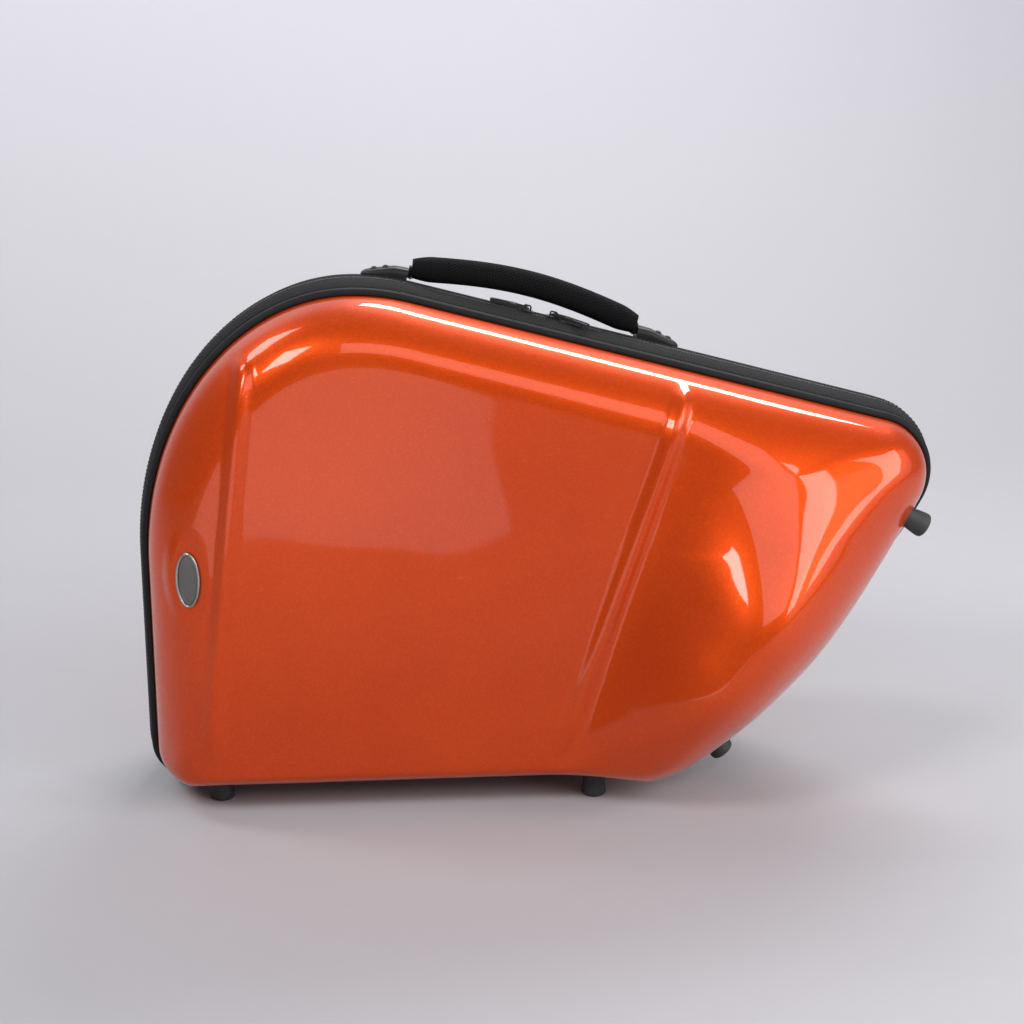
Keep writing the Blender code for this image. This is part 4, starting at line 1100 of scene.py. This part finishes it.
faces += end_caps(len(verts), AROUND)
grip = new_object("knitted_grip", verts, faces, 55)
add_uv(grip, uv)
dress(grip, KNIT_MESH, "grip_mesh", "handle_grip")
print("grip", round(2 * GRIP_REACH, 3), "m long")

# %% Round the edges of a CAD node
CAD_MERGE = 0.00002
FLAT_ANGLE = 2
SHARP_ANGLE = 25
SMOOTH_ANGLE = 35


def rounded_node(node, name, width, segments=3):
    """Merged copy of a CAD node with its sharp edges bevelled."""
    obj = NODES[node].copy()
    obj.data = NODES[node].data.copy()
    obj.name = name
    obj.parent = None
    for key in list(obj.keys()):
        del obj[key]
    obj.data.materials.clear()
    bpy.context.scene.collection.objects.link(obj)
    activate(obj)
    bpy.ops.object.mode_set(mode="EDIT")
    bpy.ops.mesh.select_all(action="SELECT")
    bpy.ops.mesh.remove_doubles(threshold=CAD_MERGE)
    bpy.ops.mesh.dissolve_limited(angle_limit=math.radians(FLAT_ANGLE))
    bpy.ops.object.mode_set(mode="OBJECT")
    mod = obj.modifiers.new("edges", "BEVEL")
    mod.width = width
    mod.segments = segments
    mod.limit_method = "ANGLE"
    mod.angle_limit = math.radians(SHARP_ANGLE)
    mod.use_clamp_overlap = True
    bpy.ops.object.modifier_apply(modifier="edges")
    bpy.ops.object.shade_smooth_by_angle(angle=math.radians(SMOOTH_ANGLE))
    return obj


core = rounded_node("handle_core", "handle_strip", CORE_EDGE)
dress(core, SATIN_PLASTIC, "black_plastic", "handle_core")

# %% [markdown]
# ## Handle brackets
# Each end of the handle turns on a pin in a low moulded bracket, which is riveted through the
# gusset. The bracket is a rounded section that gets lower and narrower away from the handle.
# Its underside is dropped on to the gusset.

# %% Frames on the top edge
CREST_X = LEFT_X + CROWN_REACH
CREST_Z = BOTTOM_Z + LEFT_RISE + CROWN_RISE
TOP_START_X = CREST_X + CREST_RADIUS * math.sin(TOP_SLOPE)


def top_frame(x):
    """Frame on the top edge: x along it to the right, y to the back, z outward."""
    h = -math.asin(min(math.sin(TOP_SLOPE), max(0.0, (x - CREST_X) / CREST_RADIUS)))
    z = CREST_Z - CREST_RADIUS * (1 - math.cos(h)) - max(0.0, x - TOP_START_X) * math.tan(TOP_SLOPE)
    rows = ((math.cos(h), 0.0, math.sin(h)), (0.0, 1.0, 0.0), (-math.sin(h), 0.0, math.cos(h)))
    return Matrix.Translation((x, 0.0, z)) @ Matrix(rows).transposed().to_4x4()


# %% Bracket values
HANDLE_Y = 0.0155
HANDLE_AXIS = 0.0125
BRACKET_LENGTH = 0.036
BRACKET_WIDE = 0.0082
BRACKET_TALL = HANDLE_AXIS + 0.0049 - gusset_top(HANDLE_Y)
BRACKET_SEAT = 0.0004
BRACKET_START = LUG_THICK / 2 + 0.0004
BRACKET_STEPS = [0.0, 0.0, 0.015] + list(np.linspace(0.05, 0.9, 22)) + [0.94, 0.97, 0.99, 1.0]
SEAT_POINTS, DOME_POINTS = 9, 19
RIVET_PLACES = (0.5, 0.74)
RIVET_DOME = [(0.0, 0.0017), (0.0010, 0.0016), (0.0019, 0.0012), (0.0026, 0.0006), (0.0030, 0.0),
              (0.0030, -0.0006), (0.0, -0.0006)]
PIN_SEAT = -LUG_THICK / 2 - 0.0004
PIN_FORM = [(0.0, PIN_SEAT - 0.0014), (0.0018, PIN_SEAT - 0.0014), (0.0026, PIN_SEAT - 0.0008),
            (0.0029, PIN_SEAT - 0.0003), (0.0029, PIN_SEAT), (0.0015, PIN_SEAT),
            (0.0015, BRACKET_START + 0.004), (0.0, BRACKET_START + 0.004)]


def round_off(k, start):
    """One up to the start, then a quarter circle down to nothing at the far end."""
    return math.sqrt(max(0.0, 1 - (max(0.0, k - start) / (1 - start)) ** 2))


# %% Brackets, rivets and pins
gusset_skin = bpy.data.objects["back_woven_gusset"]
for s, word in ((-1, "left"), (1, "right")):
    pivot = HANDLE @ Vector((s * HALF_SPAN, 0.0, 0.0))
    spot = top_frame(pivot.x)
    normal = spot.to_3x3() @ Vector((0.0, 0.0, 1.0))
    shift = (spot.inverted() @ pivot).x

    def seat(a, y):
        hit, at, _, _ = gusset_skin.ray_cast(spot @ Vector((a, y, 0.04)), -normal)
        return (spot.inverted() @ at).z if hit else gusset_top(y)

    verts = []
    for n, k in enumerate(BRACKET_STEPS):
        a = shift + s * (BRACKET_START + BRACKET_LENGTH * k)
        high = np.interp(k, [0.0, 0.3, 0.8, 1.0], [1.0, 0.98, 0.55, 0.36])
        wide = BRACKET_WIDE * (0.25 + 0.75 * round_off(k, 0.72))
        high *= 0.45 + 0.55 * round_off(k, 0.9)
        if n == 0:
            wide, high = wide * 0.85, high * 0.92
        crown = seat(a, HANDLE_Y) + BRACKET_TALL * high
        for b in np.linspace(-1, 1, SEAT_POINTS):
            y = HANDLE_Y + b * wide
            verts.append(spot @ Vector((a, y, seat(a, y) + BRACKET_SEAT)))
        for t in np.linspace(0.02, 0.98, DOME_POINTS):
            c, d = math.cos(math.pi * t), math.sin(math.pi * t)
            y = HANDLE_Y + math.copysign(abs(c) ** 0.55, c) * wide
            low = seat(a, y) + BRACKET_SEAT
            verts.append(spot @ Vector((a, y, low + (crown - low) * d**0.5)))
    ring = SEAT_POINTS + DOME_POINTS
    faces = grid_faces(len(BRACKET_STEPS), ring, False, True) + end_caps(len(verts), ring)
    bracket = new_object("moulded_bracket_" + word, verts, faces, 50)
    dress(bracket, SATIN_PLASTIC, "black_plastic", "handle_bracket_" + word)
    for n, k in enumerate(RIVET_PLACES):
        a = shift + s * (BRACKET_START + BRACKET_LENGTH * k)
        hit, at, up, _ = bracket.ray_cast(spot @ Vector((a, HANDLE_Y, 0.04)), -normal)
        rivet = lathe("dome_rivet_%s_%d" % (word, n + 1), RIVET_DOME, place_on(at, up), 24)
        dress(rivet, BLACK_CASTING, "black_metal", "bracket_rivet_%s_%d" % (word, n + 1))
    place = place_on(pivot, HANDLE_ALONG * s, (0.0, 1.0, 0.0))
    pin = lathe("pivot_pin_" + word, PIN_FORM, place, 24)
    dress(pin, BLACK_CASTING, "black_metal", "handle_pin_" + word)
    print(word, "bracket at", [round(v, 4) for v in pivot])

# %% [markdown]
# ## Zip sliders and pulls
# The two sliders are small black castings with an arched bridge. A flat tab hangs from each
# bridge and turns on it. They are the CAD's own shapes with rounded edges. The tabs are made
# thicker on top and get raised ridges, so that fingers can hold them.

# %% Sliders, pulls and end clips
TAB_START = 0.006
TAB_THICKER = 2.0
CAST_EDGE, CLIP_EDGE = 0.0004, 0.0003
PULL_YAW = {"left": math.radians(189.0), "right": math.radians(-30.0)}
RIDGES, RIDGE_START, RIDGE_STEP = 6, 0.0165, 0.0021
RIDGE_LEVELS = (-0.0008, 0.0008 * TAB_THICKER)
ridge_verts, ridge_faces = small_bar((0.0010, 0.0060, 0.0008), 0.0003, 2)
TOP_TURN = top_frame(0.0).to_3x3().to_4x4()
for word in ("left", "right"):
    slider = rounded_node("zip_slider_" + word, "cast_slider_" + word, CAST_EDGE)
    dress(slider, BLACK_CASTING, "black_metal", "zip_slider_" + word)
    pull = rounded_node("zip_pull_" + word, "cast_pull_" + word, CAST_EDGE)
    eye = Vector(JOINTS["pull_%s_flip" % word]["pos_m"])
    turn = Matrix.Translation(eye) @ TOP_TURN @ Matrix.Rotation(PULL_YAW[word], 4, "Z")
    pieces = [pull]
    back_turn = turn.inverted()
    for v in pull.data.vertices:
        at = back_turn @ v.co
        if at.z > 0:
            at.z *= 1 + (TAB_THICKER - 1) * min(1.0, max(0.0, (at.x - TAB_START) / TAB_START))
        v.co = turn @ at
    for n in range(RIDGES):
        for level in RIDGE_LEVELS:
            at = turn @ Matrix.Translation((RIDGE_START + RIDGE_STEP * n, 0.0, level))
            pieces.append(new_object("ridge", [at @ Vector(v) for v in ridge_verts], ridge_faces, 50))
    deselect()
    for piece in pieces:
        piece.select_set(True)
    bpy.context.view_layer.objects.active = pull
    bpy.ops.object.join()
    dress(pull, BLACK_CASTING, "black_metal", "zip_pull_" + word)
    clip = rounded_node("zip_clip_" + word, "crimped_clip_" + word, CLIP_EDGE, 2)
    dress(clip, STEEL, "steel", "zip_clip_" + word)
    print(word, "pull", len(pull.data.polygons), "faces")

# %% [markdown]
# ## Bare badge
# An oval plate with a bright raised rim sits in the dimple of the front shell. Its field is left
# bare on purpose. Both pieces are oval rings of points in the plane of the CAD badge.

# %% Badge plate and rim
badge_right = Vector((0.0, 0.0, 1.0)).cross(Vector(BADGE_NORMAL))
BADGE_PLACE = place_on(Vector(BADGE_BACK), Vector(BADGE_NORMAL), badge_right)
OVAL_POINTS = 72
FIELD_ROWS = [(0.0, 0.0), (0.0, 0.0008), (0.0022, 0.0008), (0.0024, 0.0010), (0.0030, 0.0010),
              (0.0032, 0.0008), (0.0098, 0.0010)]
RIM_ROWS = [(0.0, 0.0011), (-0.0001, 0.0016), (0.0001, 0.0021), (0.0006, 0.0024), (0.0012, 0.0024),
            (0.0017, 0.0021), (0.0019, 0.0016), (0.0020, 0.0011)]


def oval_rings(name, rows, closed):
    """Rings of an oval, each (margin in from the edge, height)."""
    verts = []
    for margin, height in rows:
        for j in range(OVAL_POINTS):
            t = 2 * math.pi * j / OVAL_POINTS
            a = (BADGE_HALF[0] - margin) * math.cos(t)
            b = (BADGE_HALF[1] - margin) * math.sin(t)
            verts.append(BADGE_PLACE @ Vector((a, b, height)))
    faces = grid_faces(len(rows), OVAL_POINTS, closed, True)
    if not closed:
        faces += end_caps(len(verts), OVAL_POINTS)
    return new_object(name, verts, faces, 40)


plate = oval_rings("badge_field", FIELD_ROWS, False)
dress(plate, PEWTER_DARK, "badge_dark", "badge_plate")
badge_ring = oval_rings("badge_bright_rim", RIM_ROWS, True)
dress(badge_ring, PEWTER, "badge_metal", "badge_rim")
print("badge", len(plate.data.polygons) + len(badge_ring.data.polygons), "faces")

# %% [markdown]
# ## Inside
# A plush box fills the lower left corner, with a soft lid for small things. A webbing strap with
# two studs crosses the back half to hold the instrument. The photograph shows a shut case, so
# all of this is a guess at how such cases are fitted out.

# %% Corner box and lid
BOX_EDGE = 0.0016
LID_ROUND = 0.012
LID_HUB = 0.02
# Pairs of (share of the way out from the middle, rise in lid thicknesses), from under to over.
LID_RINGS = ((0.0, 0.0), (0.97, 0.0), (0.995, 0.25), (1.0, 0.5), (0.995, 0.75), (0.97, 1.0),
             (0.9, 1.25), (0.75, 1.5), (0.5, 1.7), (0.25, 1.8), (0.0, 1.85))
box = rounded_node("corner_box", "plush_corner_box", BOX_EDGE)
dress(box, PLUSH, "lining", "corner_box")
lid_low, lid_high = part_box("corner_lid")
leg = lid_high.x - lid_low.x
thick = lid_high.y - lid_low.y
lid_corners = [(lid_low.x, lid_low.z), (lid_high.x, lid_low.z), (lid_low.x, lid_high.z)]
outline = np.array(round_section(lid_corners, LID_ROUND, 31))
centre = np.array([lid_low.x + leg / 3, lid_low.z + leg / 3])
verts = []
for share, rise in LID_RINGS:
    ring = centre + (outline - centre) * max(share, LID_HUB)
    verts += [(x, lid_high.y - thick * rise, z) for x, z in ring]
faces = grid_faces(len(LID_RINGS), len(outline), False, True) + end_caps(len(verts), len(outline))
lid = new_object("plush_lid", verts, faces, 60)
dress(lid, PLUSH, "lining", "corner_lid")
print("lid", round(leg, 4), "m wide")

# %% Strap and studs
STRAP_ROUND = 0.0007
STRAP_STEPS = 80
STUD_CAP = [(0.0, 0.0022), (0.0022, 0.0021), (0.0040, 0.0016), (0.0053, 0.0010), (0.0058, 0.0004),
            (0.0058, 0.0), (0.0, 0.0)]
strap_low, strap_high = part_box("instrument_strap")
low, high = strap_low, strap_high
corners = [(low.x, low.y), (high.x, low.y), (high.x, high.y), (low.x, high.y)]
section = round_section(corners, STRAP_ROUND, 3)
verts = []
uv = []
for z in np.linspace(low.z, high.z, STRAP_STEPS):
    for x, y in section:
        verts.append((x, y, z))
        uv.append((x, z))
faces = grid_faces(STRAP_STEPS, len(section), False, True) + end_caps(len(verts), len(section))
strap = new_object("webbing_strap", verts, faces, 50)
add_uv(strap, uv)
dress(strap, WEBBING, "black_fabric", "instrument_strap")
for word in ("lower", "upper"):
    low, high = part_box("strap_stud_" + word)
    at = Vector(((low.x + high.x) / 2, high.y, (low.z + high.z) / 2))
    stud = lathe("snap_stud_" + word, STUD_CAP, place_on(at, (0.0, -1.0, 0.0)), 36)
    dress(stud, STEEL, "steel", "strap_stud_" + word)

# %% [markdown]
# ## Camera, floor and light
# The camera stands where the photograph was taken from: a little to the left, looking down
# at the case with a short telephoto lens. The floor is one sheet of grey paper that curves up
# behind, and the wall is painted paler with height: painted light on the backdrop. The key lamp
# stands at the upper left. A long lamp behind draws the bright line along the top edge, and
# those at the right streak the bell. A glossy surface shows what stands round it, so faint cards
# give it something pale to reflect: one lies in front for the panel, and two hang at the front
# and at the right for the bell. The camera sees none of the lamps themselves.

# %% Camera
AIM = Vector((-0.020, 0.0, 0.224))
AZIMUTH, ELEVATION = math.radians(-4.4), math.radians(17.0)
DISTANCE = 1.7
LENS = 73.33
level = math.cos(ELEVATION)
back = Vector((math.sin(AZIMUTH) * level, -math.cos(AZIMUTH) * level, math.sin(ELEVATION)))
bpy.ops.object.camera_add(location=AIM + back * DISTANCE)
camera = bpy.context.object
camera.data.lens = LENS
camera.data.sensor_width = 36.0
camera.rotation_euler = (-back).to_track_quat("-Z", "Y").to_euler()
bpy.context.scene.camera = camera
bpy.context.scene.view_settings.view_transform = "Standard"
print("camera at", [round(v, 3) for v in camera.location])

# %% Floor sheet
SWEEP_START, SWEEP_RADIUS, SWEEP_STEPS = 0.9, 0.9, 16
FLOOR_FRONT, FLOOR_HALF, WALL_TOP = -3.0, 4.0, 4.0
FLOOR_SHADE, WALL_PAINTED_LIGHT = (0.43, 0.428, 0.450), (0.60, 0.595, 0.640)
WALL_PALE_AT = 0.7
profile = [(FLOOR_FRONT, 0.0), (SWEEP_START, 0.0)]
for k in range(1, SWEEP_STEPS + 1):
    a = math.pi / 2 * k / SWEEP_STEPS
    profile.append((SWEEP_START + SWEEP_RADIUS * math.sin(a), SWEEP_RADIUS * (1 - math.cos(a))))
profile.append((SWEEP_START + SWEEP_RADIUS, WALL_TOP))
verts = [(x, y, z) for y, z in profile for x in (-FLOOR_HALF, FLOOR_HALF)]
floor = new_object("floor_sheet", verts, grid_faces(len(profile), 2, False, False), 60)
FLOOR_PAPER, tree, shader = finish("floor_paper", FLOOR_SHADE, 0.75)
coords = tree.nodes.new("ShaderNodeTexCoord")
split = tree.nodes.new("ShaderNodeSeparateXYZ")
tree.links.new(coords.outputs["Object"], split.inputs[0])
# The wall is painted paler with height: painted light on the backdrop.
painted_wall_light = map_range(tree, split.outputs[2], 0.0, WALL_PALE_AT, 0.0, 1.0)
paper = add_group(tree, GRAIN, Scale=300.0)
shade = math_node(tree, "ADD", painted_wall_light, math_node(tree, "MULTIPLY", paper.outputs["Mask"], 0.06))
tree.links.new(mix_colour(tree, shade, FLOOR_SHADE, WALL_PAINTED_LIGHT), shader.inputs["Base Color"])
floor.data.materials.append(FLOOR_PAPER)
print("floor", len(floor.data.polygons), "faces")


# %% Lamps
# Name, place, what it faces, width and height, watts.
LAMPS = (
    ("key_left", (-1.3, -1.4, 1.9), (-0.1, 0.0, 0.25), (0.7, 0.7), 26),
    ("top_back", (0.55, 1.15, 1.65), (0.1, 0.0, 0.3), (1.3, 0.20), 22),
    ("right_strip", (1.25, -1.35, 1.05), (0.15, 0.0, 0.25), (0.38, 1.0), 10),
    ("right_box", (1.65, -0.70, 1.0), (0.15, 0.0, 0.25), (0.6, 1.1), 13),
    ("right_card", (2.0, -0.8, 0.8), (0.2, 0.0, 0.25), (2.0, 1.4), 7),
    ("room_card", (0.35, -1.65, 1.4), (0.2, 0.0, 0.3), (1.3, 0.9), 9),
    ("wall_wash", (-1.5, 0.5, 1.9), (-0.7, 1.7, 1.0), (0.9, 0.9), 23),
    ("front_card", (-0.585, -1.34, 0.004), (-0.585, -1.34, 1.0), (1.23, 1.12), 5),
)
WORLD_SHADE, WORLD_STRENGTH = (0.80, 0.82, 0.88, 1.0), 0.20
for name, place, target, size, power in LAMPS:
    bpy.ops.object.light_add(type="AREA", location=place)
    lamp = bpy.context.object
    lamp.name = name
    lamp.data.shape = "RECTANGLE"
    lamp.data.size, lamp.data.size_y = size
    lamp.data.energy = power
    lamp.rotation_euler = (Vector(target) - Vector(place)).to_track_quat("-Z", "Y").to_euler()
    lamp.visible_camera = False
world = bpy.data.worlds.new("studio")
bpy.context.scene.world = world
world.use_nodes = True
set_inputs(world.node_tree.nodes["Background"], Color=WORLD_SHADE, Strength=WORLD_STRENGTH)
print("lamps", len(LAMPS))
